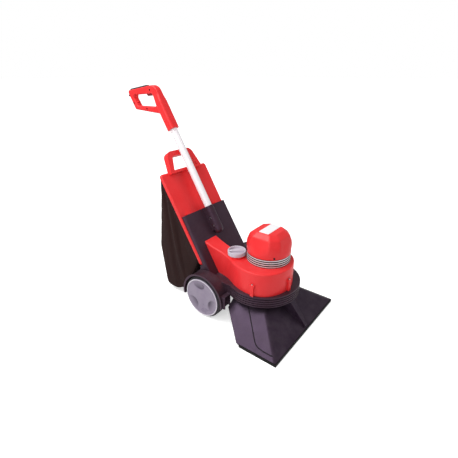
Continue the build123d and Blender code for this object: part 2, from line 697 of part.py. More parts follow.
def dome_block(inset):
    """Eight-sided dome: upright band, leaning sides, sloping shoulder and flat top."""
    sections = [(0, FIN_RADIUS), (DOME_BAND, FIN_RADIUS), (DOME_SHOULDER, DOME_SHOULDER_RADIUS),
                (DOME_HEIGHT, DOME_TOP_RADIUS)]
    faces = []
    for height, radius in sections:
        level = DOME_SEAT + height - (inset if height else 0)
        polygon = RegularPolygon(radius - inset, DOME_SIDES, major_radius=False, rotation=180 / DOME_SIDES)
        faces.append(Pos(0, MOTOR_Y, level) * polygon)
    return loft(faces, ruled=True)


def motor_dome():
    outer = dome_block(0)
    soft = [edge for edge in outer.edges() if edge.center().Z > DOME_SEAT + 1]
    dome = fillet(soft, radius=DOME_ROUND) - dome_block(DOME_WALL)
    for turn in DOME_SCREW_TURNS:
        dome -= Pos(0, MOTOR_Y, 0) * Rot(0, 0, turn) * dome_screw_drum(SCREW_RADIUS + RUN_FIT, 0, 2 * FIN_RADIUS)
    return dome


def motor_can():
    top = CAN_FLOOR + CAN_HEIGHT
    can = drum(CAN_RADIUS, CAN_FLOOR, top) - drum(CAN_RADIUS - CAN_WALL, CAN_FLOOR, top - CAN_WALL)
    can += drum(BEARING_RADIUS + CAN_WALL, top - BEARING_WIDTH, top)
    can -= drum(BEARING_RADIUS, top - BEARING_WIDTH, top - CAN_WALL)
    can -= drum(SHAFT_RADIUS + 2, top - BEARING_WIDTH, top)
    return Pos(0, MOTOR_Y, 0) * can


def stator_core():
    middle = CAN_FLOOR + CAN_HEIGHT / 2
    ring = drum(CAN_RADIUS - CAN_WALL, middle - STATOR_HEIGHT / 2, middle + STATOR_HEIGHT / 2, y=MOTOR_Y)
    return ring - drum(STATOR_BORE, middle - STATOR_HEIGHT / 2, middle + STATOR_HEIGHT / 2, y=MOTOR_Y)


def armature():
    middle = CAN_FLOOR + CAN_HEIGHT / 2
    core = drum(ARMATURE_RADIUS, middle - ARMATURE_HEIGHT / 2, middle + ARMATURE_HEIGHT / 2, y=MOTOR_Y)
    return core - drum(SHAFT_RADIUS, middle - ARMATURE_HEIGHT / 2, middle + ARMATURE_HEIGHT / 2, y=MOTOR_Y)


def motor_shaft():
    return drum(SHAFT_RADIUS, impeller_low() - NUT_HEIGHT, CAN_FLOOR + CAN_HEIGHT - CAN_WALL, y=MOTOR_Y)


def bearing(bottom):
    ring = drum(BEARING_RADIUS, bottom, bottom + BEARING_WIDTH - CAN_WALL, y=MOTOR_Y)
    return ring - drum(SHAFT_RADIUS + RUN_FIT, bottom, bottom + BEARING_WIDTH, y=MOTOR_Y)


def bearing_lower():
    return bearing(CAN_FLOOR - BEARING_WIDTH)


def bearing_upper():
    return bearing(CAN_FLOOR + CAN_HEIGHT - BEARING_WIDTH)


# Tower

def tower_block(inset):
    """Sloping hollow tower that narrows upwards, with a foot that carries the bag frame."""
    ledge_back = on_slope(LEDGE, -LEDGE_DEPTH)
    side_view = [(TOWER_FOOT_Y, DECK), on_slope(TOWER_LENGTH, 0), on_slope(TOWER_LENGTH, -TOWER_DEPTH),
                 on_slope(LEDGE, -TOWER_DEPTH), ledge_back, (ledge_back[0], DECK)]
    profile = Polygon(*side_view, align=None)
    if inset:
        profile = offset(profile, amount=-inset)
    slab = extrude(Plane.YZ * profile, amount=TOWER_FOOT_HALF, both=True)
    foot = TOWER_FOOT_HALF - inset
    top = TOWER_TOP_HALF - inset
    outline = [(-foot, 0), (foot, 0), (top, TOWER_LENGTH), (-top, TOWER_LENGTH)]
    return slab & slope_slab(outline, 1, 2 * LEDGE_DEPTH)


def slope_rod(radius, start, end, out=TUBE_HEIGHT):
    """Round bar along the slope on the middle line."""
    tilt = radians(SLOPE)
    y, z = on_slope(start, out)
    plane = Plane(origin=(0, y, z), z_dir=(0, cos(tilt), sin(tilt)))
    return extrude(plane * Circle(radius), amount=end - start)


def tube_socket():
    """Half-round ridge on the tower that holds the foot of the handle tube."""
    radius = TUBE_RADIUS + SOCKET_WALL
    ridge = slope_rod(radius, TUBE_BOTTOM, TOWER_LENGTH)
    y, z = on_slope(TUBE_BOTTOM, TUBE_HEIGHT)
    ridge += Pos(0, y, z) * Sphere(radius)
    web = [(-radius, TUBE_BOTTOM), (radius, TUBE_BOTTOM), (radius, TOWER_LENGTH), (-radius, TOWER_LENGTH)]
    return ridge + slope_slab(web, TUBE_HEIGHT, TUBE_HEIGHT + WALL)


def tube_screw(radius, inner, outer, along):
    """Drum across the socket from its right-hand flank."""
    y, z = on_slope(along, TUBE_HEIGHT)
    return cross_drum(radius, -outer, -inner, y, z)


def frame_front():
    return -(TOWER_DEPTH + SEAT_GAP)


def frame_back():
    return frame_front() - FRAME_THICKNESS


def slot_outline(x, half, low, high):
    """Rectangle on the slope as (x, along) points."""
    return [(x - half, low), (x + half, low), (x + half, high), (x - half, high)]


def duct_tower():
    tower = tower_block(0)
    sides = [edge for edge in tower.edges() if edge.length > TOWER_LENGTH - 1]
    front_sides = sorted(sides, key=lambda edge: edge.center().Y)[:2]
    tower = fillet(front_sides, radius=TOWER_ROUND)
    tower -= tower_block(WALL)
    tower -= slope_slab(slot_outline(0, WINDOW_HALF, WINDOW_LOW, WINDOW_HIGH), -TOWER_DEPTH + 2 * WALL, TOWER_DEPTH)
    skin = slope_slab(slot_outline(0, TOWER_FOOT_HALF, 0, TOWER_LENGTH), 1, WALL + 2)
    tower -= volute_block(WALL) & skin
    lip_front = frame_back() - HAND_FIT
    lip = slot_outline(0, TOWER_TOP_HALF, LEDGE - WALL, LEDGE + LEDGE_LIP)
    tower += slope_slab(lip, lip_front, LEDGE_DEPTH + lip_front)
    tower += tube_socket()
    tower -= slope_rod(TUBE_RADIUS, TUBE_BOTTOM, TOWER_LENGTH)
    for x in (-TONGUE_X, TONGUE_X):
        slot = slot_outline(x, TONGUE_WIDTH / 2 + HAND_FIT, TOWER_LENGTH - 2 * WALL, TOWER_LENGTH + 1)
        tower -= slope_slab(slot, tongue_front() + HAND_FIT, TONGUE_THICKNESS + 2 * HAND_FIT)
    flank = TUBE_RADIUS + SOCKET_WALL
    for along in TUBE_SCREWS:
        tower -= tube_screw(SCREW_RADIUS + RUN_FIT, 0, flank + 1, along)
        tower -= tube_screw(SCREW_HEAD_RADIUS + SEAT_GAP, flank - SCREW_HEAD, flank + SOCKET_WALL, along)
    return tower


def handle_tube():
    tube = slope_rod(TUBE_RADIUS, TUBE_BOTTOM, TUBE_TOP) - slope_rod(TUBE_RADIUS - TUBE_WALL, TUBE_BOTTOM, TUBE_TOP)
    for along in TUBE_SCREWS:
        tube -= tube_screw(SCREW_RADIUS + RUN_FIT, 0, TUBE_RADIUS + 1, along)
    return tube


def tube_screws():
    flank = TUBE_RADIUS + SOCKET_WALL
    screws = []
    for along in TUBE_SCREWS:
        shank = tube_screw(SCREW_RADIUS, TUBE_RADIUS / 2, flank - SCREW_HEAD, along)
        screws.append(shank + tube_screw(SCREW_HEAD_RADIUS, flank - SCREW_HEAD, flank, along))
    return Compound(children=screws)


# Bag frame and bag

def tongue_front():
    """Front face of the hanging tongues, in the middle of the tower's depth."""
    return -TOWER_DEPTH / 2 + TONGUE_THICKNESS / 2


def carry_loop():
    """Loop handle on the frame's top edge."""
    base = FRAME_TOP - FRAME_CORNER
    top = FRAME_TOP + LOOP_HEIGHT
    outer = Polygon((-LOOP_HALF, base), (LOOP_HALF, base), (LOOP_TOP_HALF, top), (-LOOP_TOP_HALF, top), align=None)
    outer = fillet(outer.vertices().sort_by(Axis.Y)[-2:], radius=LOOP_CORNER)
    hand_top = top - LOOP_BAR
    hole = Polygon((-LOOP_HALF + LOOP_BAR, FRAME_TOP), (LOOP_HALF - LOOP_BAR, FRAME_TOP),
                   (LOOP_TOP_HALF - LOOP_BAR, hand_top), (-LOOP_TOP_HALF + LOOP_BAR, hand_top), align=None)
    hole = fillet(hole.vertices().sort_by(Axis.Y)[-2:], radius=LOOP_BAR / 2)
    plane = slope_plane(0, frame_back() + LOOP_DEPTH)
    loop = extrude(plane * outer, amount=LOOP_DEPTH, dir=-plane.z_dir)
    return loop - extrude(plane * hole, amount=LOOP_DEPTH, dir=-plane.z_dir)


def bag_frame():
    """Red frame: rounded panel with the duct window, hanging tongues and carry loop."""
    bottom = LEDGE + SEAT_GAP
    middle = (bottom + FRAME_TOP) / 2
    panel = Pos(0, middle) * RectangleRounded(2 * FRAME_HALF, FRAME_TOP - bottom, FRAME_CORNER)
    plane = slope_plane(0, frame_front())
    frame = extrude(plane * panel, amount=FRAME_THICKNESS, dir=-plane.z_dir)
    front_rim = frame.faces().sort_by(Axis((0, 0, 0), plane.z_dir))[-1].edges()
    frame = chamfer(front_rim, FRAME_EDGE)
    frame -= slope_slab(slot_outline(0, WINDOW_HALF, WINDOW_LOW, WINDOW_HIGH), 0, 2 * LEDGE_DEPTH)
    bridge_low = TOWER_LENGTH + SEAT_GAP
    for x in (-TONGUE_X, TONGUE_X):
        half = TONGUE_WIDTH / 2
        bridge = slot_outline(x, half, bridge_low, bridge_low + TONGUE_THICKNESS)
        frame += slope_slab(bridge, tongue_front(), tongue_front() - frame_back())
        tongue = slot_outline(x, half, TOWER_LENGTH - TONGUE_DROP, bridge_low + TONGUE_THICKNESS)
        frame += slope_slab(tongue, tongue_front(), TONGUE_THICKNESS)
    return frame + carry_loop()


def bag_profile():
    """Side view of the hanging bag from its low mouth corner round to its high mouth corner."""
    low = on_slope(BAG_MOUTH_LOW, frame_back())
    high = on_slope(BAG_MOUTH_HIGH, frame_back())
    points = [low, BAG_FRONT, BAG_BOTTOM_FRONT, BAG_BOTTOM_REAR, BAG_BACK, BAG_TOP_REAR, high]
    profile = Polygon(*points, align=None)
    corners = [min(profile.vertices(), key=lambda v: (v.X - y) ** 2 + (v.Y - z) ** 2) for y, z in points[1:-1]]
    return fillet(corners, radius=BAG_ROUND)


def dust_bag():
    """Cloth bag, closed all round and open where it is hemmed to the frame."""
    profile = bag_profile()
    outer = extrude(Plane.YZ * profile, amount=BAG_HALF, both=True)
    inner = extrude(Plane.YZ * offset(profile, amount=-BAG_WALL), amount=BAG_HALF - BAG_WALL, both=True)
    mouth = slot_outline(0, BAG_HALF - BAG_WALL, BAG_MOUTH_LOW + 2 * BAG_WALL, BAG_MOUTH_HIGH - 4 * BAG_WALL)
    return outer - inner - slope_slab(mouth, frame_back() + 1, 3 * BAG_WALL)


# D-grip

def arm_out(side):
    """Distance of the arm's front (+1) or rear (-1) face from the sloping plane."""
    return TUBE_HEIGHT + side * (TUBE_RADIUS + ARM_WALL)


def slope_at_height(height, out):
    """Distance up the slope at which a line parallel to it reaches a height."""
    tilt = radians(SLOPE)
    return (height - DECK - out * cos(tilt)) / sin(tilt)


def grip_face():
    """Side view of the D: bend, top bar, rear post and lower bar round the hand gap."""
    front_corner = on_slope(slope_at_height(GRIP_FRONT_TOP, arm_out(1)), arm_out(1))
    arm_corner = on_slope(slope_at_height(GRIP_FOOT_HEIGHT, arm_out(-1)), arm_out(-1))
    root = (ARM_BOTTOM + TUBE_TOP) / 2
    points = [on_slope(root, arm_out(1)), front_corner, GRIP_REAR_TOP, GRIP_REAR_FOOT, arm_corner,
              on_slope(root, arm_out(-1))]
    outline = Polygon(*points, align=None)

    def round_corner(face, point, radius):
        corner = min(face.vertices(), key=lambda v: (v.X - point[0]) ** 2 + (v.Y - point[1]) ** 2)
        return fillet(corner, radius=radius)
    outline = round_corner(outline, front_corner, GRIP_BEND)
    for point in (GRIP_REAR_TOP, GRIP_REAR_FOOT, arm_corner):
        outline = round_corner(outline, point, GRIP_ROUND)
    gap = Polygon(*GRIP_GAP, align=None)
    return outline - fillet(gap.vertices(), radius=GRIP_ROUND)


def top_line(y):
    """Height of the top bar's upper edge at a place along it."""
    front = on_slope(slope_at_height(GRIP_FRONT_TOP, arm_out(1)), arm_out(1))
    fall = (GRIP_REAR_TOP[1] - front[1]) / (GRIP_REAR_TOP[0] - front[0])
    return front[1] + fall * (y - front[0])


def under_line(y):
    """Height of the top bar's lower edge at a place along it."""
    (rear_y, rear_z), (front_y, front_z) = GRIP_GAP[0], GRIP_GAP[1]
    return front_z + (rear_z - front_z) * (y - front_y) / (rear_y - front_y)


def pad_block(low, high):
    end = PAD_START + PAD_LENGTH
    points = [(PAD_START, top_line(PAD_START) - low), (end, top_line(end) - low), (end, top_line(end) + high),
              (PAD_START, top_line(PAD_START) + high)]
    return side_prism(points, PAD_HALF)


def grip_pad():
    return pad_block(PAD_THICKNESS, PAD_THICKNESS / 4)


def gland_plane(start=0.0):
    """Plane square to the cord gland, at a distance along it from its root."""
    tilt = radians(GLAND_SLOPE)
    y = GRIP_REAR_TOP[0] - 2 * GLAND_RADIUS + start * cos(tilt)
    z = GRIP_REAR_TOP[1] - 1.5 * GLAND_RADIUS + start * sin(tilt)
    return Plane(origin=(0, y, z), z_dir=(0, cos(tilt), sin(tilt)))


def cord_gland():
    """Rubber sleeve where the cord would leave the grip, with its bore."""
    sleeve = extrude(gland_plane() * Circle(GLAND_RADIUS), amount=GLAND_LENGTH, taper=5)
    return sleeve - extrude(gland_plane() * Circle(GLAND_RADIUS / 2), amount=GLAND_LENGTH)


def trigger_slot():
    """Slot in the top bar with room for the trigger's swing and the switch behind it."""
    start = TRIGGER_PIVOT[0] - 2 * TRIGGER_DROP / 3
    end = TRIGGER_PIVOT[0] + TRIGGER_LENGTH
    ceiling = TRIGGER_PIVOT[1] + TRIGGER_DROP
    opening = side_prism([(start, under_line(start) - TRIGGER_DROP), (end, under_line(end) - TRIGGER_DROP),
                          (end, ceiling), (start, ceiling)], TRIGGER_HALF + HAND_FIT)
    return opening + switch_block(SEAT_GAP)


def switch_block(gap):
    start = TRIGGER_PIVOT[0] + TRIGGER_LENGTH
    middle = TRIGGER_PIVOT[1] - SWITCH_HEIGHT / 4
    half = SWITCH_HEIGHT / 2 + gap
    end = start + SWITCH_LENGTH + gap
    return side_prism([(start, middle - half), (end, middle - half), (end, middle + half), (start, middle + half)],
                      TRIGGER_HALF + gap)


def switch_body():
    return switch_block(0)


def trigger():
    y, z = TRIGGER_PIVOT
    end = y + TRIGGER_LENGTH - 2
    front = y - TRIGGER_DROP / 3
    lever = Polygon((front, z + 3), (front, under_line(y)), (y + TRIGGER_DROP, under_line(y) - TRIGGER_DROP),
                    (end - TRIGGER_DROP, under_line(end) - TRIGGER_DROP), (end, under_line(end) - 2), (end, z - 3),
                    align=None)
    lever = fillet(lever.vertices().sort_by(Axis.Y)[:2], radius=TRIGGER_DROP / 2)
    solid = extrude(Plane.YZ * lever, amount=TRIGGER_HALF, both=True)
    return solid - cross_drum(TRIGGER_PIN_RADIUS + RUN_FIT, -BAR_HALF, BAR_HALF, *trigger_hinge())


def trigger_hinge():
    """Side-view point of the trigger's pin, in the middle of the lever's root."""
    y, z = TRIGGER_PIVOT
    return (y + TRIGGER_PIN_RADIUS, z - TRIGGER_PIN_RADIUS)


def trigger_pin():
    reach = BAR_HALF - WALL
    return cross_drum(TRIGGER_PIN_RADIUS, -reach, reach, *trigger_hinge())


def cord_hook():
    """Small ledge inside the rear post that a cord loop hangs on."""
    root = GRIP_GAP[0][0] - HOOK_THICKNESS
    return side_prism([(root, HOOK_HEIGHT), (root - HOOK_LENGTH, HOOK_HEIGHT), (root - HOOK_LENGTH, HOOK_HEIGHT + 4),
                       (root, HOOK_HEIGHT + HOOK_THICKNESS)], BAR_HALF / 2)


def grip_screw_places():
    """Side-view points of the screws that hold the two halves together."""
    return [(PAD_START - 2 * GRIP_BAR_SCREW, top_line(PAD_START) - GRIP_BAR_SCREW),
            (GRIP_REAR_FOOT[0] + GRIP_BAR_SCREW / 2, GRIP_REAR_FOOT[1] + 2 * GRIP_BAR_SCREW),
            (PAD_START, (GRIP_GAP[3][1] + GRIP_REAR_FOOT[1]) / 2)]


def arm_section(along, half):
    """Rounded section of the arm, square to the tube."""
    tilt = radians(SLOPE)
    y, z = on_slope(along, TUBE_HEIGHT)
    plane = Plane(origin=(0, y, z), x_dir=(1, 0, 0), z_dir=(0, cos(tilt), sin(tilt)))
    return plane * RectangleRounded(2 * half, 2 * (TUBE_RADIUS + ARM_WALL), ARM_ROUND)


def grip_arm():
    """Sleeve over the tube's head, narrowing upwards into the D."""
    low = arm_section(ARM_BOTTOM, ARM_HALF)
    shoulder = arm_section(ARM_TAPER_START, ARM_HALF)
    sleeve = loft([low, shoulder], ruled=True)
    return sleeve + loft([shoulder, arm_section(ARM_TAPER_END, BAR_HALF)], ruled=True)


def grip_body():
    loop = extrude(Plane.YZ * grip_face(), amount=BAR_HALF, both=True)
    sides = loop.faces().sort_by(Axis.X)
    rims = sides[0].edges() + sides[-1].edges()
    body = fillet(rims, radius=GRIP_EDGE) + grip_arm() + cord_hook()
    body -= slope_rod(TUBE_RADIUS, 0, TUBE_TOP)
    body -= trigger_slot() + pad_block(PAD_THICKNESS, PAD_THICKNESS)
    body -= extrude(gland_plane() * Circle(GLAND_RADIUS), amount=GLAND_LENGTH)
    body -= trigger_pin()
    for y, z in grip_screw_places():
        body -= cross_drum(SCREW_RADIUS + RUN_FIT, -BAR_HALF, BAR_HALF - WALL, y, z)
        body -= cross_drum(SCREW_HEAD_RADIUS + SEAT_GAP, -2 * BAR_HALF, -BAR_HALF + SCREW_HEAD, y, z)
    return body


def half_space(side):
    reach = 4 * TUBE_TOP
    edge = Align.MAX if side < 0 else Align.MIN
    return Box(reach, reach, reach, align=(edge, Align.CENTER, Align.CENTER))


def grip_right():
    return grip_body() & half_space(-1)


def grip_left():
    return grip_body() & half_space(1)


def grip_screws():
    screws = []
    for y, z in grip_screw_places():
        shank = cross_drum(SCREW_RADIUS, -BAR_HALF + SCREW_HEAD, BAR_HALF - WALL, y, z)
        screws.append(shank + cross_drum(SCREW_HEAD_RADIUS, -BAR_HALF + SCREW_HEAD / 3, -BAR_HALF + SCREW_HEAD, y, z))
    return Compound(children=screws)


# Export

def placement(pieces):
    """Move that brings the origin to the floor under the middle of the whole machine."""
    boxes = [piece.bounding_box() for piece in pieces]
    front = min(box.min.Y for box in boxes)
    rear = max(box.max.Y for box in boxes)
    floor = min(box.min.Z for box in boxes)
    return Pos(0, -(front + rear) / 2, -floor)


NODES = {
    "suction_hood": suction_hood,
    "hood_lip": hood_lip,
    "chassis_shell": chassis_shell,
    "wheel_core_right": wheel_core,
    "wheel_core_left": lambda: mirror(wheel_core(), about=Plane.YZ),
    "tyre_right": tyre,
    "tyre_left": lambda: mirror(tyre(), about=Plane.YZ),
    "hub_cap_right": hub_cap,
    "hub_cap_left": lambda: mirror(hub_cap(), about=Plane.YZ),
    "axle": axle,
    "axle_clips": axle_clips,
    "fan_floor": fan_floor,
    "scroll_housing": scroll_housing,
    "scroll_screws": scroll_screws,
    "impeller": impeller,
    "impeller_nut": impeller_nut,
    "cleanout_cap": cleanout_cap,
    "motor_base_ring": motor_base_ring,
    "motor_dome": motor_dome,
    "dome_screws": dome_screws,
    "motor_can": motor_can,
    "stator_core": stator_core,
    "armature": armature,
    "motor_shaft": motor_shaft,
    "bearing_lower": bearing_lower,
    "bearing_upper": bearing_upper,
    "duct_tower": duct_tower,
    "handle_tube": handle_tube,
    "tube_screws": tube_screws,
    "bag_frame": bag_frame,
    "dust_bag": dust_bag,
    "grip_right": grip_right,
    "grip_left": grip_left,
    "grip_screws": grip_screws,
    "grip_pad": grip_pad,
    "trigger": trigger,
    "trigger_pin": trigger_pin,
    "switch_body": switch_body,
    "cord_gland": cord_gland,
}

if __name__ == "__main__":
    os.makedirs("parts", exist_ok=True)
    pieces = {name: make() for name, make in NODES.items()}
    place = placement(pieces.values())
    for name, piece in pieces.items():
        export_step(place * piece, f"parts/{name}.step")
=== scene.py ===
"""Looks of a walk-behind suction carpet machine: its finishes, soft parts, fine moulded forms and stage."""
import math

import bmesh
import bpy
from bpy.props import FloatProperty, FloatVectorProperty, IntProperty, PointerProperty
from mathutils import Matrix, Vector, noise
from mathutils.bvhtree import BVHTree


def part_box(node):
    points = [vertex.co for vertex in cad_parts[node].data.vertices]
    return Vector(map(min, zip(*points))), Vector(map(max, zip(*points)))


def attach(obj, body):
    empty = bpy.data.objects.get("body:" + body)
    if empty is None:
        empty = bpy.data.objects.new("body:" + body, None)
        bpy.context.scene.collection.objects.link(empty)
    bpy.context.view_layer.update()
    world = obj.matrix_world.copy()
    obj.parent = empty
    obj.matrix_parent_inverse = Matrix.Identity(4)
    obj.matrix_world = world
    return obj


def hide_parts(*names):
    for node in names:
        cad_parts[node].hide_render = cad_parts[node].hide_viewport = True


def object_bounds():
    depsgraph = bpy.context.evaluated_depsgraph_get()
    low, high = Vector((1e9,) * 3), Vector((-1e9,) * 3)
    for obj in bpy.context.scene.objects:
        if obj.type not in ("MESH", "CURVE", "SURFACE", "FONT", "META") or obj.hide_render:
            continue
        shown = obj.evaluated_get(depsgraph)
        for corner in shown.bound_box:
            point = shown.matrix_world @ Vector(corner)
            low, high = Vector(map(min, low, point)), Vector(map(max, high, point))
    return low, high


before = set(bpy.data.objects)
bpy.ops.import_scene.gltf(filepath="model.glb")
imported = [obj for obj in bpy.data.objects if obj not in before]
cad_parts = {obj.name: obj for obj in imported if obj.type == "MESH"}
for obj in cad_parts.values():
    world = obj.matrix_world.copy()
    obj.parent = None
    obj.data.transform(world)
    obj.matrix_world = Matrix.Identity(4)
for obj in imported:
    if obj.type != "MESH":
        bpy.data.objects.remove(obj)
CAD_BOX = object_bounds()

bl_info = {
    "name": "Suction carpet machine looks",
    "version": (1, 0, 0),
    "blender": (4, 5, 0),
    "location": "View3D > Sidebar > Machine",
    "description": "Finishes, cloth bag, moulded details and studio for a walk-behind suction machine",
    "category": "Object",
}

# Metres back from the zero line, just behind the front lip, to the upright axis of the fan and motor
AXIS_BACK = 0.204

# Fins of the motor's base ring under the motor cover, and the height from one to the next
FIN_COUNT = 4
FIN_PITCH = 0.010

# The tower, bag frame and tube share one sloping plane, given from the zero line and the floor in metres
SLOPE = math.radians(58.5)
SLOPE_FOOT = (0.414, 0.190)
FRAME_BACK = -0.0343

# Side view of the bag: its mouth as distances up the slope, its walls as (back from the zero line, height)
BAG_MOUTH = (0.097, 0.524)
BAG_SIDE = ((0.590, 0.060), (0.665, 0.020), (0.737, 0.027), (0.767, 0.250), (0.727, 0.555))

# Crease down the hood's right-hand slope as (across, back from the zero line, height)
HOOD_CREASE = ((-0.137, 0.214, 0.110), (-0.249, 0.096, 0.029), (-0.254, 0.055, 0.025), (-0.253, 0.004, 0.026))

# Studio lights: name, place from the machine's middle, size, and whether shiny surfaces mirror it
LIGHTS = (("key", (-2.5, -0.7, 1.8), 2.2, True),
          ("top", (-1.2, 1.0, 2.4), 1.8, True),
          ("fill", (2.6, -2.3, 1.0), 1.6, False))

# Half size of the floor, and the distances over which its glow grows to full white
FLOOR_REACH = 60.0
GLOW_NEAR = 0.9
GLOW_FAR = 2.6


def box_middle(name):
    """Middle of a CAD node's box in the shared frame."""
    lowest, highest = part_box(name)
    return (lowest + highest) / 2


def machine_point(x, back, height):
    """Point in the shared frame, given how far back from the zero line it lies."""
    return Vector((x, box_middle("motor_dome").y - AXIS_BACK + back, height))


def slope_point(x, along, out):
    """Point at a distance up the sloping plane and out from it."""
    back = SLOPE_FOOT[0] + along * math.cos(SLOPE) - out * math.sin(SLOPE)
    height = SLOPE_FOOT[1] + along * math.sin(SLOPE) + out * math.cos(SLOPE)
    return machine_point(x, back, height)


def between(value, low, high):
    """Share of the way from low to high, kept within 0 and 1."""
    return min(1.0, max(0.0, (value - low) / (high - low)))


# Settings, with property functions named like Blender's own

def LengthProperty(name, description, default):
    """Setting for a size in metres."""
    return FloatProperty(name=name, description=description, unit="LENGTH", default=default)


def ColourProperty(name, description, default):
    """Setting for a colour."""
    return FloatVectorProperty(name=name, description=description, subtype="COLOR", min=0, max=1,
                               default=default)


def NumberProperty(name, description, default):
    """Setting for a plain number or a share."""
    return FloatProperty(name=name, description=description, default=default)


def CountProperty(name, description, default):
    """Setting for a whole number."""
    return IntProperty(name=name, description=description, default=default)


class FinishSettings(bpy.types.PropertyGroup):
    """Colours of the finishes."""
    # The hood's black is a darker copy of the charcoal below, as painted shade on the hood's front
    black: ColourProperty("Black moulding", "Plastic of the hood", (0.013, 0.006, 0.013))
    charcoal: ColourProperty("Charcoal moulding", "Plastic of the chassis and tower", (0.034, 0.015, 0.021))
    red: ColourProperty("Red moulding", "Fan housing, motor cover, bag frame and grip", (0.80, 0.024, 0.027))
    grey: ColourProperty("Grey moulding", "Hub caps", (0.22, 0.175, 0.25))
    pale_grey: ColourProperty("Pale moulding", "Clean-out cap", (0.52, 0.48, 0.56))
    tube: ColourProperty("Tube enamel", "Stoved enamel of the handle tube", (0.92, 0.88, 0.91))
    cloth: ColourProperty("Bag cloth", "Dyed weave of the dust bag", (0.018, 0.007, 0.007))
    rubber: ColourProperty("Rubber", "Tyres, grip inlay and cord gland", (0.020, 0.018, 0.020))
    metal: ColourProperty("Bright metal", "Small steel parts", (0.72, 0.71, 0.72))
    label: ColourProperty("Label", "Bare plate on the motor cover", (0.88, 0.87, 0.89))


class BagSettings(bpy.types.PropertyGroup):
    """Make-up of the cloth bag."""
    half_width: LengthProperty("Half width", "Half of the bag's width before it sags", 0.150)
    corner: LengthProperty("Corner round", "Rounding of the panel corners in side view", 0.012)
    panel_round: LengthProperty("Panel round", "Rounding along the side panels' seams", 0.009)
    voxel: LengthProperty("Cloth cell", "Cell size of the cloth before it hangs", 0.007)
    fold: LengthProperty("Fold depth", "Depth of the soft upright folds", 0.0015)
    pressure: NumberProperty("Air pressure", "How far the air in it fills the bag", 1.6)
    most_movement: LengthProperty("Most movement", "Furthest that a point may hang away", 0.005)
    thickness: LengthProperty("Cloth thickness", "Thickness of the coated weave", 0.0012)
    hem: LengthProperty("Hem width", "Width of the doubled hem at the frame", 0.016)
    piping: LengthProperty("Piping radius", "Radius of the piped seams of the side panels", 0.0022)


class LabelSettings(bpy.types.PropertyGroup):
    """Size of the bare plate on the motor cover."""
    length: LengthProperty("Length", "Plate size across the machine", 0.104)
    width: LengthProperty("Width", "Plate size along the machine", 0.048)
    thickness: LengthProperty("Thickness", "How far the plate stands off the cover", 0.0009)
    corner: LengthProperty("Corner", "Rounding of the plate's corners", 0.004)
    border: LengthProperty("Border", "Width of the raised border", 0.0025)
    step: LengthProperty("Step", "Width of the pressed step inside the border", 0.0008)
    crown: NumberProperty("Crown", "Rounding of the upper edge as a share of the thickness", 0.3)
    press: NumberProperty("Press", "Depth of the pressed step as a share of the thickness", 0.25)


class InlaySettings(bpy.types.PropertyGroup):
    """Ribs of the grip inlay."""
    ribs: CountProperty("Ribs", "Number of cross ribs on the inlay", 22)
    groove: LengthProperty("Groove depth", "Depth of the grooves between the ribs", 0.0012)
    groove_wall: LengthProperty("Groove wall", "How far the walls of a groove lean in", 0.0004)
    thickness: LengthProperty("Thickness", "Thickness of the inlay in its seat", 0.004)
    proud: LengthProperty("Proud height", "How far the inlay is padded above its seat", 0.005)
    corner: LengthProperty("Corner", "Rounding of the inlay's corners", 0.004)
    crown: LengthProperty("Crown", "Rounding of the inlay's upper edge", 0.0024)


class CoverSettings(bpy.types.PropertyGroup):
    """Form of the motor cover, round at its foot and eight-sided above."""
    foot: LengthProperty("Foot radius", "Radius of the round foot", 0.0985)
    band: LengthProperty("Band height", "Height of the upright band at the foot", 0.016)
    shoulder_height: LengthProperty("Shoulder height", "Height where the faces turn in", 0.081)
    shoulder: LengthProperty("Shoulder reach", "Distance of the wide faces at the shoulder", 0.0755)
    top: LengthProperty("Top reach", "Distance of the wide faces at the flat top", 0.053)
    top_border: LengthProperty("Top border", "Width of the row of faces round the flat top", 0.003)
    cut: NumberProperty("Corner cut", "Distance of the narrow faces against the wide ones", 1.12)
    faced: NumberProperty("Faced from", "Share of the way to the shoulder where the faces are full", 0.6)
    sharpness: NumberProperty("Edge sharpness", "Higher makes the face edges crisper", 60.0)
    levels: CountProperty("Levels", "Rows of faces up the cover", 26)
    segments: CountProperty("Segments", "Faces round the cover", 96)
    wall: LengthProperty("Wall", "Moulded wall thickness", 0.003)


class HubSettings(bpy.types.PropertyGroup):
    """Form of the hub caps, mostly as shares of a cap's radius and thickness."""
    hollows: CountProperty("Hollows", "Scooped hollows round a cap", 3)
    first_angle: FloatProperty(name="First hollow", description="Angle of a hollow, up from the front",
                               unit="ROTATION", default=math.radians(100))
    reach: NumberProperty("Hollow place", "Hollow's middle as a share of the radius", 0.85)
    hollow: NumberProperty("Hollow size", "Hollow's own radius as a share of the radius", 0.42)
    hollow_wall: LengthProperty("Hollow wall", "Width of the slope round a hollow", 0.0035)
    deep: NumberProperty("Hollow depth", "Greatest depth as a share of the thickness", 0.60)
    face: NumberProperty("Face height", "Height of the face as a share of the thickness", 0.72)
    dish: NumberProperty("Dish", "Fall of the face towards the rim as a share of the thickness", 0.05)
    bead: NumberProperty("Bead width", "Width of the rim bead as a share of the radius", 0.07)
    roll: NumberProperty("Bead roll", "Share of a half turn through which the bead rolls", 0.9)
    rings: CountProperty("Rings", "Rows of faces from the middle to the bead", 44)
    bead_rings: CountProperty("Bead rings", "Rows of faces across the bead", 8)
    segments: CountProperty("Segments", "Faces round a cap", 144)


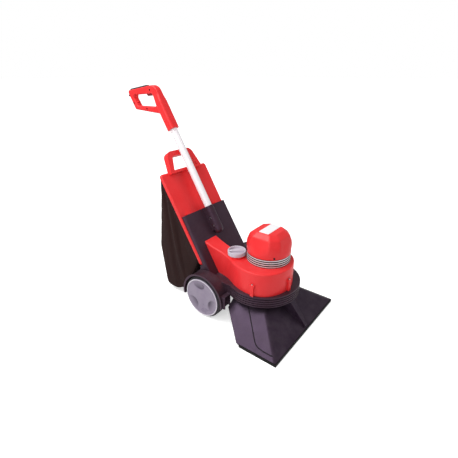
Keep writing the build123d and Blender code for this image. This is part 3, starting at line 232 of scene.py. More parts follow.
class CapSettings(bpy.types.PropertyGroup):
    """Form of the clean-out cap and of the bar that turns it."""
    height: LengthProperty("Height", "Height of the cap above its seat", 0.019)
    rim: LengthProperty("Rim", "Thickness of the rim", 0.006)
    recess: LengthProperty("Recess", "Depth of the hollow beside the bar", 0.011)
    bar: LengthProperty("Bar", "Width of the bar that turns the cap", 0.013)
    bar_drop: LengthProperty("Bar drop", "How far the bar's top lies below the rim", 0.001)
    bar_round: LengthProperty("Bar round", "Rounding of the bar's upper edges", 0.003)
    turn: FloatProperty(name="Turn", description="Direction of the bar when the cap is shut", unit="ROTATION",
                        default=math.radians(-52))
    segments: CountProperty("Segments", "Faces round the cap", 72)
    rim_steps: CountProperty("Rim steps", "Rows of faces over the rim", 6)
    crease: FloatProperty(name="Crease", description="Edges that bend more than this stay crisp",
                          unit="ROTATION", default=math.radians(35))


class TrimSettings(bpy.types.PropertyGroup):
    """Dark strip and fine beads of the hood."""
    strip: LengthProperty("Edge strip", "Height of the dark strip along the hood's lower edge", 0.0135)
    bead: LengthProperty("Bead radius", "Radius of the bead along the hood's creases", 0.0022)


class StageSettings(bpy.types.PropertyGroup):
    """Studio light and camera."""
    camera_place: FloatVectorProperty(name="Camera place", subtype="TRANSLATION",
                                      description="Camera across, back and up from the zero line",
                                      default=(-1.1724, -0.4841, 1.060))
    camera_aim: FloatVectorProperty(name="Camera aim", description="Direction in which the camera looks",
                                    subtype="DIRECTION", default=(0.7171, 0.5585, -0.4172))
    lens: NumberProperty("Lens", "Focal length in millimetres on a 36 mm sensor", 26.88)
    key: FloatProperty(name="Key light", description="Power of the large light on the machine's right",
                       unit="POWER", default=34.0)
    top: FloatProperty(name="Top light", description="Power of the light above and behind",
                       unit="POWER", default=72.0)
    fill: FloatProperty(name="Fill light", description="Power of the light at the front left",
                        unit="POWER", default=32.0)
    sky: NumberProperty("Sky level", "Strength of the even light from all round", 0.38)
    floor: ColourProperty("Floor colour", "Pale floor", (0.86, 0.86, 0.86))
    floor_lift: NumberProperty("Floor lift", "Glow that makes the seen floor white", 0.55)


# Shader nodes

def feed(tree, socket, value):
    """Links a socket to another one, or sets it to a plain value."""
    if isinstance(value, bpy.types.NodeSocket):
        tree.links.new(value, socket)
    else:
        socket.default_value = value


def add_node(tree, kind, inputs=None, **settings):
    """New shader node with its plain settings, and with its inputs linked or set."""
    made = tree.nodes.new(kind)
    for name, value in settings.items():
        setattr(made, name, value)
    for name, value in (inputs or {}).items():
        feed(tree, made.inputs[name], value)
    return made


def map_range(tree, value, low, high, to_low=0.0, to_high=1.0):
    """Clamped remapping of a value socket."""
    inputs = {"Value": value, "From Min": low, "From Max": high, "To Min": to_low, "To Max": to_high}
    return add_node(tree, "ShaderNodeMapRange", inputs).outputs["Result"]


def calculate(tree, operation, first, second=0.0):
    """Math node on two values, each a socket or a number."""
    return add_node(tree, "ShaderNodeMath", {0: first, 1: second}, operation=operation).outputs["Value"]


def add_share(tree, value, mask, share):
    """A value with a share of a mask added to it."""
    return calculate(tree, "ADD", value, calculate(tree, "MULTIPLY", mask, share))


def mix_colour(tree, amount, first, second):
    """Mix of two colours, each a socket or a colour, by an amount socket."""
    made = add_node(tree, "ShaderNodeMix", {"Factor": amount}, data_type="RGBA")
    for place, value in ((6, first), (7, second)):
        linked = isinstance(value, bpy.types.NodeSocket)
        feed(tree, made.inputs[place], value if linked else (*value[:3], 1))
    return made.outputs[2]


def blend(tree, mask, share, first, second):
    """Mix of two colours by a share of a mask."""
    return mix_colour(tree, calculate(tree, "MULTIPLY", mask, share), first, second)


def noise_value(tree, place, **inputs):
    """Noise at a place, given the noise node's own inputs."""
    return add_node(tree, "ShaderNodeTexNoise", {"Vector": place, **inputs}).outputs["Fac"]


# Shader groups that several finishes share, each named like the function that makes it

def new_group(name, inputs, outputs):
    """Shader group fed with a place and with values, its input node and its output node."""
    group = bpy.data.node_groups.new(name, "ShaderNodeTree")
    for side, labels in (("INPUT", ("Place", *inputs)), ("OUTPUT", outputs)):
        for label in labels:
            kind = "NodeSocketVector" if label in ("Place", "Normal") else "NodeSocketFloat"
            group.interface.new_socket(label, in_out=side, socket_type=kind)
    return group, group.nodes.new("NodeGroupInput").outputs, group.nodes.new("NodeGroupOutput").inputs


def close_group(group, result, **values):
    """The group with its results linked."""
    for name, value in values.items():
        group.links.new(value, result[name])
    return group


def mottle_group():
    """Cloudy colour change and fine moulded grain, from object coordinates."""
    group, given, result = new_group("mottle_group", ("Cloud Scale", "Grain Scale"), ("Cloud", "Grain"))
    cloud = noise_value(group, given["Place"], Scale=given["Cloud Scale"], Detail=4.0, Roughness=0.6)
    grain = noise_value(group, given["Place"], Scale=given["Grain Scale"], Detail=2.0, Roughness=0.5)
    return close_group(group, result, Cloud=map_range(group, cloud, 0.32, 0.68), Grain=grain)


def scuff_group():
    """Thin handling scratches that run mostly along the machine."""
    group, given, result = new_group("scuff_group", ("Density",), ("Scuff",))
    stretch = {"Vector": given["Place"], "Scale": (60.0, 7.0, 60.0), "Rotation": (0.2, 0.35, 0.1)}
    stretched = add_node(group, "ShaderNodeMapping", stretch).outputs["Vector"]
    lines = noise_value(group, stretched, Scale=3.2, Detail=5.0, Roughness=0.65)
    patches = noise_value(group, given["Place"], Scale=9.0, Detail=2.0)
    thin = map_range(group, lines, 0.62, 0.74)
    where = map_range(group, patches, 0.48, 0.68)
    marks = calculate(group, "MULTIPLY", thin, where)
    return close_group(group, result, Scuff=calculate(group, "MULTIPLY", marks, given["Density"]))


def edge_group():
    """Mask of worn outer edges, with the normals of softly rounded edges."""
    group, given, result = new_group("edge_group", ("Round",), ("Wear", "Normal"))
    rounded = add_node(group, "ShaderNodeBevel", {"Radius": given["Round"]}, samples=6).outputs["Normal"]
    surface = add_node(group, "ShaderNodeNewGeometry").outputs["Normal"]
    bend = add_node(group, "ShaderNodeVectorMath", {0: rounded, 1: surface}, operation="DOT_PRODUCT")
    rubbed = noise_value(group, given["Place"], Scale=55.0, Detail=4.0)
    edge = map_range(group, bend.outputs["Value"], 0.985, 0.86)
    where = map_range(group, rubbed, 0.42, 0.62)
    return close_group(group, result, Wear=calculate(group, "MULTIPLY", edge, where), Normal=rounded)


def dust_group():
    """Fine dust that settles on surfaces that face up."""
    group, given, result = new_group("dust_group", (), ("Dust",))
    surface = add_node(group, "ShaderNodeNewGeometry").outputs["Normal"]
    upward = add_node(group, "ShaderNodeSeparateXYZ", {"Vector": surface}).outputs["Z"]
    drift = noise_value(group, given["Place"], Scale=26.0, Detail=6.0, Roughness=0.7)
    facing = map_range(group, upward, 0.35, 0.95)
    patches = map_range(group, drift, 0.40, 0.70)
    return close_group(group, result, Dust=calculate(group, "MULTIPLY", facing, patches))


def weave_group():
    """Plain weave of crossing threads, with the soft colour change of dyed cloth."""
    group, given, result = new_group("weave_group", ("Threads",), ("Height", "Fade"))
    heights = []
    for direction, phase in (("X", 0.0), ("Z", 0.5), ("Y", 0.25)):
        thread = {"Vector": given["Place"], "Scale": given["Threads"], "Distortion": 0.6, "Detail": 1.0,
                  "Phase Offset": phase}
        wave = add_node(group, "ShaderNodeTexWave", thread, bands_direction=direction)
        heights.append(wave.outputs["Fac"])
    crossing = calculate(group, "MAXIMUM", heights[0], heights[1])
    crossing = calculate(group, "MAXIMUM", crossing, heights[2])
    fade = noise_value(group, given["Place"], Scale=11.0, Detail=5.0, Roughness=0.62)
    return close_group(group, result, Height=crossing, Fade=map_range(group, fade, 0.30, 0.72))


def made_once(store, make):
    """What a function makes under its own name in a store of Blender's data, made only once."""
    return store.get(make.__name__) or make()


def place_group(tree, make, place, **values):
    """Results of a shared group in a material, fed with the place on the piece."""
    inputs = {name.replace("_", " "): value for name, value in values.items()}
    group = made_once(bpy.data.node_groups, make)
    return add_node(tree, "ShaderNodeGroup", {"Place": place, **inputs}, node_tree=group).outputs


# Finishes, each named like the function that makes it

def finishes():
    """Colours that the user has set."""
    return bpy.context.scene.machine_finishes


def new_material(name):
    """Node material with its tree and the object coordinates."""
    material = bpy.data.materials.new(name)
    material.use_nodes = True
    tree = material.node_tree
    return material, tree, add_node(tree, "ShaderNodeTexCoord").outputs["Object"]


def set_shader(material, **inputs):
    """The material with inputs of its shader linked or set, named with underscores for spaces."""
    shader = material.node_tree.nodes["Principled BSDF"]
    for name, value in inputs.items():
        feed(material.node_tree, shader.inputs[name.replace("_", " ")], value)
    return material


def join_bump(material, height, strength, distance, **normal):
    """The material with bump from a height socket, on top of rounded-edge normals where they are given."""
    inputs = {"Height": height, "Strength": strength, "Distance": distance, **normal}
    bump = add_node(material.node_tree, "ShaderNodeBump", inputs)
    return set_shader(material, Normal=bump.outputs["Normal"])


def moulded_plastic(name, colour, pale, rough, grain, dust=0.05, cloud=0.3):
    """Injection-moulded plastic with cloudy colour, grain, scuffs, dust and paler worn edges."""
    material, tree, place = new_material(name)
    mottle = place_group(tree, mottle_group, place, Cloud_Scale=14.0, Grain_Scale=900.0)
    scuffs = place_group(tree, scuff_group, place, Density=0.55)
    edges = place_group(tree, edge_group, place, Round=0.0012)
    settled = place_group(tree, dust_group, place)
    tinted = blend(tree, mottle["Cloud"], cloud, colour, pale)
    worn = calculate(tree, "MULTIPLY", edges["Wear"], 0.45)
    tinted = mix_colour(tree, calculate(tree, "MAXIMUM", worn, scuffs["Scuff"]), tinted, pale)
    tinted = blend(tree, settled["Dust"], dust, tinted, (0.42, 0.38, 0.37))
    shine = map_range(tree, mottle["Cloud"], 0.0, 1.0, rough - 0.05, rough + 0.07)
    shine = add_share(tree, shine, settled["Dust"], 0.10)
    shine = add_share(tree, shine, scuffs["Scuff"], 0.15)
    set_shader(material, Base_Color=tinted, Roughness=shine)
    return join_bump(material, mottle["Grain"], strength=grain, distance=0.0004, Normal=edges["Normal"])


def piece_place(material):
    """Object coordinates that a material already has."""
    return material.node_tree.nodes["Texture Coordinate"].outputs["Object"]


def split_place(material, axis):
    """One axis of the object coordinates in a material."""
    split = add_node(material.node_tree, "ShaderNodeSeparateXYZ", {"Vector": piece_place(material)})
    return split.outputs[axis]


def recolour(material, mask, colour):
    """The material with another colour over its own, where the mask says so."""
    tree = material.node_tree
    own = tree.nodes["Principled BSDF"].inputs["Base Color"].links[0].from_socket
    return set_shader(material, Base_Color=mix_colour(tree, mask, own, colour))


def violet_black(name, colour):
    """Black plastic whose shine has a faint violet tint."""
    material = moulded_plastic(name, colour, pale=(0.050, 0.034, 0.052), rough=0.38, grain=0.35)
    return set_shader(material, Specular_Tint=(0.90, 0.64, 1.0, 1), Specular_IOR_Level=0.42)


def black_moulding():
    return violet_black("black_moulding", finishes().charcoal)


def hood_moulding():
    """Black plastic that turns darker in the strip along the hood's lower edge; its black is a darker copy of
    the chassis and tower plastic, as painted shade on the hood's front.
    """
    material = violet_black("hood_moulding", finishes().black)
    strip = bpy.context.scene.machine_trim.strip
    mask = map_range(material.node_tree, split_place(material, "Z"), strip, strip - 0.0015)
    return recolour(material, mask, (0.004, 0.003, 0.004))


def red_moulding():
    material = moulded_plastic("red_moulding", finishes().red, pale=(0.86, 0.075, 0.080),
                               rough=0.36, grain=0.10, dust=0.03, cloud=0.15)
    return set_shader(material, Specular_IOR_Level=0.32)


def grey_moulding():
    """Grey plastic, with painted shade down in the hollows of a hub cap and a painted highlight on its rim
    bead.
    """
    colour = finishes().grey
    material = moulded_plastic("grey_moulding", colour, pale=(0.48, 0.44, 0.51), rough=0.32, grain=0.25)
    lowest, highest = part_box("hub_cap_left")
    face = lowest.x + bpy.context.scene.machine_hubs.face * (highest.x - lowest.x)
    tree = material.node_tree
    outward = calculate(tree, "ABSOLUTE", split_place(material, "X"))
    # Painted shade: darker the deeper a place lies below the cap's face, down in the hollows
    recolour(material, map_range(tree, outward, face - 0.0008, face - 0.0050), (0.075, 0.055, 0.090))
    # Painted highlight: paler on the rim bead that stands above the cap's face
    return recolour(material, map_range(tree, outward, face + 0.0006, face + 0.0016), (0.62, 0.58, 0.64))


def pale_moulding():
    colour = finishes().pale_grey
    return moulded_plastic("pale_moulding", colour, pale=(0.66, 0.63, 0.68), rough=0.36, grain=0.2)


# Painted shade: the trigger is red moulding darkened for the shade under the grip's top bar
def trigger_moulding():
    return moulded_plastic("trigger_moulding", (0.20, 0.010, 0.013), pale=(0.42, 0.040, 0.045), rough=0.38,
                           grain=0.15)


def fan_moulding():
    return moulded_plastic("fan_moulding", (0.055, 0.055, 0.060), pale=(0.13, 0.13, 0.14), rough=0.50,
                           grain=0.3)


def wheel_moulding():
    return moulded_plastic("wheel_moulding", (0.040, 0.036, 0.040), pale=(0.11, 0.10, 0.11), rough=0.52,
                           grain=0.35)


def switch_moulding():
    return moulded_plastic("switch_moulding", (0.028, 0.026, 0.028), pale=(0.09, 0.085, 0.09), rough=0.40,
                           grain=0.2)


def dark_lip():
    """Black enamel of the lip and the hood's fine beads, with little shine."""
    material = moulded_plastic("dark_lip", (0.003, 0.002, 0.003), pale=(0.016, 0.013, 0.016), rough=0.55,
                               grain=0.2, dust=0.0)
    return set_shader(material, Specular_IOR_Level=0.2)


def tube_enamel():
    """Stoved white enamel with a faint orange-peel skin."""
    material, tree, place = new_material("tube_enamel")
    peel = place_group(tree, mottle_group, place, Cloud_Scale=20.0, Grain_Scale=420.0)
    scuffs = place_group(tree, scuff_group, place, Density=0.15)
    tinted = blend(tree, peel["Cloud"], 0.25, finishes().tube, (0.84, 0.81, 0.83))
    tinted = mix_colour(tree, scuffs["Scuff"], tinted, (0.60, 0.58, 0.60))
    shine = map_range(tree, peel["Cloud"], 0.0, 1.0, 0.22, 0.34)
    set_shader(material, Base_Color=tinted, Roughness=shine, Coat_Weight=0.4)
    return join_bump(material, peel["Grain"], strength=0.08, distance=0.0005)


def bright_metal(name, colour, rough, grain_scale, grain):
    """Bare metal with clouded polish, fine marks and dull rubbed edges."""
    material, tree, place = new_material(name)
    polish = place_group(tree, mottle_group, place, Cloud_Scale=32.0, Grain_Scale=grain_scale)
    scuffs = place_group(tree, scuff_group, place, Density=0.8)
    edges = place_group(tree, edge_group, place, Round=0.0006)
    tinted = blend(tree, polish["Cloud"], 0.5, colour, [0.62 * part for part in colour])
    shine = map_range(tree, polish["Cloud"], 0.0, 1.0, rough - 0.06, rough + 0.12)
    shine = add_share(tree, shine, scuffs["Scuff"], 0.2)
    set_shader(material, Base_Color=tinted, Roughness=shine, Metallic=1.0)
    return join_bump(material, polish["Grain"], strength=grain, distance=0.0003, Normal=edges["Normal"])


def machined_steel():
    colour = finishes().metal
    return bright_metal("machined_steel", colour, rough=0.28, grain_scale=700.0, grain=0.10)


def blackened_steel():
    return bright_metal("blackened_steel", (0.030, 0.026, 0.030), rough=0.40, grain_scale=700.0, grain=0.10)


def core_steel():
    return bright_metal("core_steel", (0.36, 0.33, 0.31), rough=0.46, grain_scale=500.0, grain=0.25)


def cast_alloy():
    """Cast ring with bright fin edges and painted shade in the gaps between them."""
    material = bright_metal("cast_alloy", (0.90, 0.88, 0.91), rough=0.42, grain_scale=380.0, grain=0.30)
    tree = material.node_tree
    lowest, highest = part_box("motor_base_ring")
    outer = (highest.x - lowest.x) / 2
    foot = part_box("motor_dome")[0].z
    flat = piece_place(material)
    for operation, value in (("SUBTRACT", box_middle("motor_base_ring")), ("MULTIPLY", (1, 1, 0))):
        step = add_node(tree, "ShaderNodeVectorMath", {0: flat, 1: value}, operation=operation)
        flat = step.outputs["Vector"]
    spread = add_node(tree, "ShaderNodeVectorMath", {0: flat}, operation="LENGTH").outputs["Value"]
    edge = map_range(tree, spread, outer - 0.0035, outer - 0.0010)
    turns = map_range(tree, split_place(material, "Z"), foot - FIN_COUNT * FIN_PITCH, foot, 0.0, FIN_COUNT)
    off_middle = calculate(tree, "SUBTRACT", calculate(tree, "FRACT", turns), 0.5)
    ridge = map_range(tree, calculate(tree, "ABSOLUTE", off_middle), 0.26, 0.17)
    bright = calculate(tree, "MULTIPLY", edge, ridge)
    # Painted shade: the ring turns near black everywhere but the fins' outer tips, for the shade between the
    # fins
    recolour(material, map_range(tree, bright, 1.0, 0.0), (0.008, 0.006, 0.008))
    return set_shader(material, Metallic=0.35)


def soft_rubber():
    """Matt rubber with talc bloom and small pits."""
    material, tree, place = new_material("soft_rubber")
    bloom = place_group(tree, mottle_group, place, Cloud_Scale=22.0, Grain_Scale=650.0)
    edges = place_group(tree, edge_group, place, Round=0.001)
    tinted = blend(tree, bloom["Cloud"], 0.4, finishes().rubber, (0.060, 0.055, 0.060))
    tinted = blend(tree, edges["Wear"], 0.5, tinted, (0.11, 0.10, 0.11))
    set_shader(material, Base_Color=tinted, Roughness=map_range(tree, bloom["Cloud"], 0.0, 1.0, 0.58, 0.78))
    return join_bump(material, bloom["Grain"], strength=0.4, distance=0.0004, Normal=edges["Normal"])


def bag_cloth():
    """Coated plain weave with faded patches and a little dust."""
    material, tree, place = new_material("bag_cloth")
    weave = place_group(tree, weave_group, place, Threads=170.0)
    settled = place_group(tree, dust_group, place)
    tinted = blend(tree, weave["Fade"], 0.55, finishes().cloth, (0.034, 0.015, 0.014))
    tinted = blend(tree, weave["Height"], 0.2, tinted, (0.044, 0.022, 0.020))
    tinted = blend(tree, settled["Dust"], 0.05, tinted, (0.20, 0.16, 0.14))
    set_shader(material, Base_Color=tinted, Roughness=map_range(tree, weave["Fade"], 0.0, 1.0, 0.72, 0.88),
               Sheen_Weight=0.02, Sheen_Roughness=0.45, Specular_IOR_Level=0.09)
    return join_bump(material, weave["Height"], strength=0.5, distance=0.0005)


def label_card():
    """Satin plate, left bare."""
    material, tree, place = new_material("label_card")
    ageing = place_group(tree, mottle_group, place, Cloud_Scale=45.0, Grain_Scale=600.0)
    tinted = blend(tree, ageing["Cloud"], 0.3, finishes().label, (0.78, 0.77, 0.78))
    set_shader(material, Base_Color=tinted, Roughness=map_range(tree, ageing["Cloud"], 0.0, 1.0, 0.30, 0.42))
    return join_bump(material, ageing["Grain"], strength=0.08, distance=0.0002)


# Pieces

def dress(make, *nodes):
    """Gives CAD nodes one finish."""
    for name in nodes:
        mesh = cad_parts[name].data
        mesh.materials.clear()
        mesh.materials.append(made_once(bpy.data.materials, make))


def new_object(name, data):
    """Object in the scene for a mesh, a light or a camera."""
    made = bpy.data.objects.new(name, data)
    bpy.context.scene.collection.objects.link(made)
    return made


def new_piece(name, mesh, make, body):
    """Scene object for a finished mesh, with its finish and body."""
    piece = new_object(name, mesh)
    mesh.materials.clear()
    mesh.materials.append(made_once(bpy.data.materials, make))
    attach(piece, body)
    return piece


def thicken(piece, thickness):
    """Gives a one-sided piece a wall on its inner side."""
    wall = piece.modifiers.new("wall", "SOLIDIFY")
    wall.thickness = thickness
    wall.offset = -1.0


def mesh_from(bm, name):
    """Mesh of a finished bmesh, which is freed."""
    bmesh.ops.recalc_face_normals(bm, faces=bm.faces)
    mesh = bpy.data.meshes.new(name)
    bm.to_mesh(mesh)
    bm.free()
    return mesh


def smooth(mesh):
    """The mesh with smooth shading."""
    mesh.shade_smooth()
    return mesh


def evaluated_mesh(piece):
    """Mesh of an object with its modifiers applied."""
    bpy.context.view_layer.update()
    depsgraph = bpy.context.evaluated_depsgraph_get()
    return bpy.data.meshes.new_from_object(piece.evaluated_get(depsgraph))


def bevel(bm, edges, offset, segments):
    """Rounds edges of a bmesh."""
    bmesh.ops.bevel(bm, geom=edges, affect="EDGES", offset=offset, segments=segments, profile=0.5,
                    material=-1)


def turned(profile, axis, segments):
    """Bmesh of a profile spun about an axis through the origin."""
    bm = bmesh.new()
    verts = [bm.verts.new(point) for point in profile]
    edges = [bm.edges.new(pair) for pair in zip(verts, verts[1:])]
    bmesh.ops.spin(bm, geom=[*verts, *edges], cent=(0, 0, 0), axis=axis, angle=math.tau, steps=segments,
                   use_merge=True)
    bmesh.ops.remove_doubles(bm, verts=bm.verts, dist=1e-6)
    return bm


def round_line(mesh, corners, radius, spacing):
    """Round bead that follows a line of corners along a mesh's surface."""
    surface = BVHTree.FromPolygons([v.co for v in mesh.vertices], [p.vertices for p in mesh.polygons])
    route = []
    for first, last in zip(corners, corners[1:]):
        parts = max(2, round((last - first).length / spacing))
        for step in range(parts):
            route.append(surface.find_nearest(first.lerp(last, (step + 0.5) / parts))[0])
    curve = bpy.data.curves.new("round_line", "CURVE")
    curve.dimensions = "3D"
    curve.bevel_depth = radius
    curve.bevel_resolution = 3
    curve.use_fill_caps = True
    line = curve.splines.new("NURBS")
    line.points.add(len(route) - 1)
    for point, place in zip(line.points, route):
        point.co = (*place, 1)
    line.order_u = 4
    line.use_endpoint_u = True
    holder = bpy.data.objects.new("round_line", curve)
    bead = bpy.data.meshes.new_from_object(holder)
    bpy.data.objects.remove(holder)
    return smooth(bead)


# Dust bag; its edges stay sharp close to the mouth, and its folds start behind it and grow over a run
SHARP_AT_MOUTH = 0.004
FOLD_START = 0.02
FOLD_RUN = 0.12

# Waves of the folds in a metre across, along and up
FOLD_WAVES = (16, 16, 4)

# Cloth sewn to the frame, and the depth and border of the wall cut out of the mouth, all in cloth cells
SEWN_CELLS = 1.6
CUT_CELLS = 1.2
BORDER_CELLS = 1.5

# Swelling of the hem as a share of the cloth's thickness, and the piping's inset as one of the panel round
HEM_SWELL = 0.6
PIPING_INSET = 0.3

# Cloth simulation, with a share of the real gravity
CLOTH = {"quality": 5, "mass": 0.35, "tension_stiffness": 20, "compression_stiffness": 12,
         "bending_stiffness": 1.5, "use_pressure": True, "vertex_group_mass": "sewn"}
CLOTH_GRAVITY = 0.35
CLOTH_FRAMES = 20


def mouth_plane():
    """Point in the bag's mouth, and the direction that leaves it towards the front and up."""
    return slope_point(0, 0, FRAME_BACK), Vector((0, -math.sin(SLOPE), math.cos(SLOPE)))


def mouth_depth():
    """Function that says how far a point lies behind the bag's mouth."""
    mouth, normal = mouth_plane()
    return lambda point: -(point - mouth).dot(normal)


def bag_corners(x):
    """Corners of one side panel, from the low mouth corner round to the high one."""
    low, high = (slope_point(x, along, FRAME_BACK) for along in BAG_MOUTH)
    return [low, *(machine_point(x, back, height) for back, height in BAG_SIDE), high]


def bag_block(settings):
    """The bag as it was cut: two side panels joined by one strip, with rounded corners."""
    half = settings.half_width
    depth = mouth_depth()
    bm = bmesh.new()
    panel = bm.faces.new([bm.verts.new(point) for point in bag_corners(-half)])
    grown = bmesh.ops.extrude_face_region(bm, geom=[panel])
    moved = [part for part in grown["geom"] if isinstance(part, bmesh.types.BMVert)]
    bmesh.ops.translate(bm, verts=moved, vec=(2 * half, 0, 0))
    crossing = [edge for edge in bm.edges if abs(edge.verts[0].co.x - edge.verts[1].co.x) > half
                and depth(edge.verts[0].co) > SHARP_AT_MOUTH]
    bevel(bm, crossing, settings.corner, segments=4)
    seams = [edge for edge in bm.edges if edge.verts[0].co.x * edge.verts[1].co.x > 0
             and max(depth(vert.co) for vert in edge.verts) > SHARP_AT_MOUTH]
    bevel(bm, seams, settings.panel_round, segments=2)
    return mesh_from(bm, "bag_block")


def bag_cells(settings):
    """The cut bag divided into even cloth cells, with soft upright folds in its walls."""
    rough = new_object("bag_rough", bag_block(settings))
    remesh = rough.modifiers.new("cells", "REMESH")
    remesh.mode = "VOXEL"
    remesh.voxel_size = settings.voxel
    cells = evaluated_mesh(rough)
    bpy.data.objects.remove(rough)
    depth = mouth_depth()
    for vert, normal in zip(cells.vertices, [v.normal.copy() for v in cells.vertices]):
        slack = min(1.0, max(0.0, (depth(vert.co) - FOLD_START) / FOLD_RUN))
        wave = noise.noise(Vector([place * waves for place, waves in zip(vert.co, FOLD_WAVES)]))
        vert.co += normal * (settings.fold * slack * wave)
    return cells


def hang_cloth(settings, cells):
    """Lets the cloth hang from the frame and fill with air, within a cap on its movement."""
    start = [vert.co.copy() for vert in cells.vertices]
    hung = new_object("bag_hung", cells)
    depth = mouth_depth()
    sewn = [vert.index for vert in cells.vertices if depth(vert.co) < SEWN_CELLS * settings.voxel]
    hung.vertex_groups.new(name="sewn").add(sewn, 1.0, "REPLACE")
    cloth = hung.modifiers.new("cloth", "CLOTH")
    for name, value in CLOTH.items():
        setattr(cloth.settings, name, value)
    cloth.settings.uniform_pressure_force = settings.pressure
    cloth.settings.effector_weights.gravity = CLOTH_GRAVITY
    cloth.collision_settings.use_collision = False
    scene = bpy.context.scene
    for step in range(1, CLOTH_FRAMES + 1):
        scene.frame_set(step)
    shaped = evaluated_mesh(hung)
    scene.frame_set(1)
    bpy.data.objects.remove(hung)
    for vert, rest in zip(shaped.vertices, start):
        move = vert.co - rest
        if move.length > settings.most_movement:
            vert.co = rest + move.normalized() * settings.most_movement
    return shaped


def open_mouth(settings, mesh):
    """Takes out the wall that lay against the frame, and doubles the cloth along the hem."""
    normal = mouth_plane()[1]
    depth = mouth_depth()
    half = settings.half_width - BORDER_CELLS * settings.voxel
    cut = CUT_CELLS * settings.voxel
    bm = bmesh.new()
    bm.from_mesh(mesh)
    bm.normal_update()
    middles = [(face, face.calc_center_median()) for face in bm.faces if face.normal.dot(normal) > 0.8]
    inner = [face for face, middle in middles if depth(middle) < cut and abs(middle.x) < half]
    bmesh.ops.delete(bm, geom=inner, context="FACES")
    for vert in bm.verts:
        if depth(vert.co) < settings.hem:
            vert.co += vert.normal * (HEM_SWELL * settings.thickness)
    bm.to_mesh(mesh)
    bm.free()


def bag_piping(settings, cloth, side):
    """Piped seam along one side panel, laid on the hanging cloth."""
    corners = bag_corners(side * (settings.half_width - PIPING_INSET * settings.panel_round))
    return round_line(cloth, corners, settings.piping, spacing=0.03)


class MACHINE_OT_dust_bag(bpy.types.Operator):
    """Hang the cloth dust bag on its frame, with its hem and its piped seams"""
    bl_idname = "machine.dust_bag"
    bl_label = "Dust bag"

    def execute(self, context):
        settings = context.scene.machine_bag
        cells = bag_cells(settings)
        cloth = hang_cloth(settings, cells)
        open_mouth(settings, cloth)
        smooth(cloth)
        cloth.name = "dust_bag_cloth"
        seams = [new_piece(f"bag_piping_{name}", bag_piping(settings, cloth, side), bag_cloth,
                           "bag_unit") for name, side in (("right", -1), ("left", 1))]
        bag = new_piece("dust_bag_cloth", cloth, bag_cloth, "bag_unit")
        thicken(bag, settings.thickness)
        soften = bag.modifiers.new("soft cloth", "SUBSURF")
        soften.levels = soften.render_levels = 1
        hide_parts("dust_bag")
        return {"FINISHED"}


# Label plate and grip inlay

def rounded_plate(length, width, thickness, corner, crown):
    """Thin plate on the origin with rounded corners and a softened upper edge."""
    bm = bmesh.new()
    bmesh.ops.create_cube(bm, size=1.0, matrix=Matrix.Diagonal((length, width, thickness, 1)))
    bmesh.ops.translate(bm, verts=bm.verts, vec=(0, 0, thickness / 2))
    upright = [edge for edge in bm.edges if abs(edge.verts[0].co.z - edge.verts[1].co.z) > thickness / 2]
    bevel(bm, upright, corner, segments=6)
    rim = [edge for edge in bm.edges if min(v.co.z for v in edge.verts) > 0.9 * thickness]
    bevel(bm, rim, crown, segments=2)
    return bm


class MACHINE_OT_label_plate(bpy.types.Operator):
    """Lay the bare label plate on top of the motor cover, with its pressed border"""
    bl_idname = "machine.label_plate"
    bl_label = "Label plate"

    def execute(self, context):
        settings = context.scene.machine_label
        thickness = settings.thickness
        bm = rounded_plate(settings.length, settings.width, thickness, settings.corner,
                           settings.crown * thickness)
        top = max(bm.faces, key=lambda face: face.calc_center_median().z * face.calc_area())
        for width, depth in ((settings.border, -settings.press), (settings.step, settings.press)):
            bmesh.ops.inset_region(bm, faces=[top], thickness=width, depth=depth * thickness)
        seat = (*box_middle("motor_dome").xy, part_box("motor_dome")[1].z)
        bmesh.ops.translate(bm, verts=bm.verts, vec=seat)
        new_piece("label_plate", mesh_from(bm, "label_plate"), label_card, "chassis")
        return {"FINISHED"}


class MACHINE_OT_grip_inlay(bpy.types.Operator):
    """Lay the ribbed rubber inlay along the top bar of the grip"""
    bl_idname = "machine.grip_inlay"
    bl_label = "Grip inlay"

    def execute(self, context):
        settings = context.scene.machine_inlay
        lowest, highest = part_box("grip_pad")
        run = highest.y - lowest.y
        drop = highest.z - lowest.z - settings.thickness
        length = math.hypot(run, drop)
        full = settings.thickness + settings.proud
        bm = rounded_plate(highest.x - lowest.x, length, full, settings.corner, settings.crown)
        for rib in range(1, 2 * settings.ribs):
            place = length * (rib / (2 * settings.ribs) - 0.5)
            bmesh.ops.bisect_plane(bm, geom=[*bm.verts, *bm.edges, *bm.faces], plane_co=(0, place, 0),
                                   plane_no=(0, 1, 0))
        flats = [face for face in bm.faces if face.normal.z > 0.99 and face.calc_area() > 1e-5]
        flats.sort(key=lambda face: face.calc_center_median().y)
        bmesh.ops.inset_individual(bm, faces=flats[1::2], thickness=settings.groove_wall,
                                   depth=-settings.groove)
        bmesh.ops.translate(bm, verts=bm.verts, vec=(0, 0, -settings.thickness / 2))
        turn = Matrix.Rotation(-math.atan2(drop, run), 4, "X")
        bmesh.ops.transform(bm, matrix=Matrix.Translation(box_middle("grip_pad")) @ turn, verts=bm.verts)
        inlay = new_piece("grip_inlay", mesh_from(bm, "grip_inlay"), soft_rubber, "chassis")
        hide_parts("grip_pad")
        return {"FINISHED"}


# Motor cover, hub caps, clean-out cap and hood beads

def soft_faces(angle, wide, narrow, sharpness):
    """Radius at an angle of a square with cut corners and softened edges."""
    total = 0.0
    for side in range(8):
        reach = narrow if side % 2 else wide
        share = math.cos(angle - side * math.pi / 4) / reach
        total += max(0.0, share) ** sharpness
    return total ** (-1.0 / sharpness)


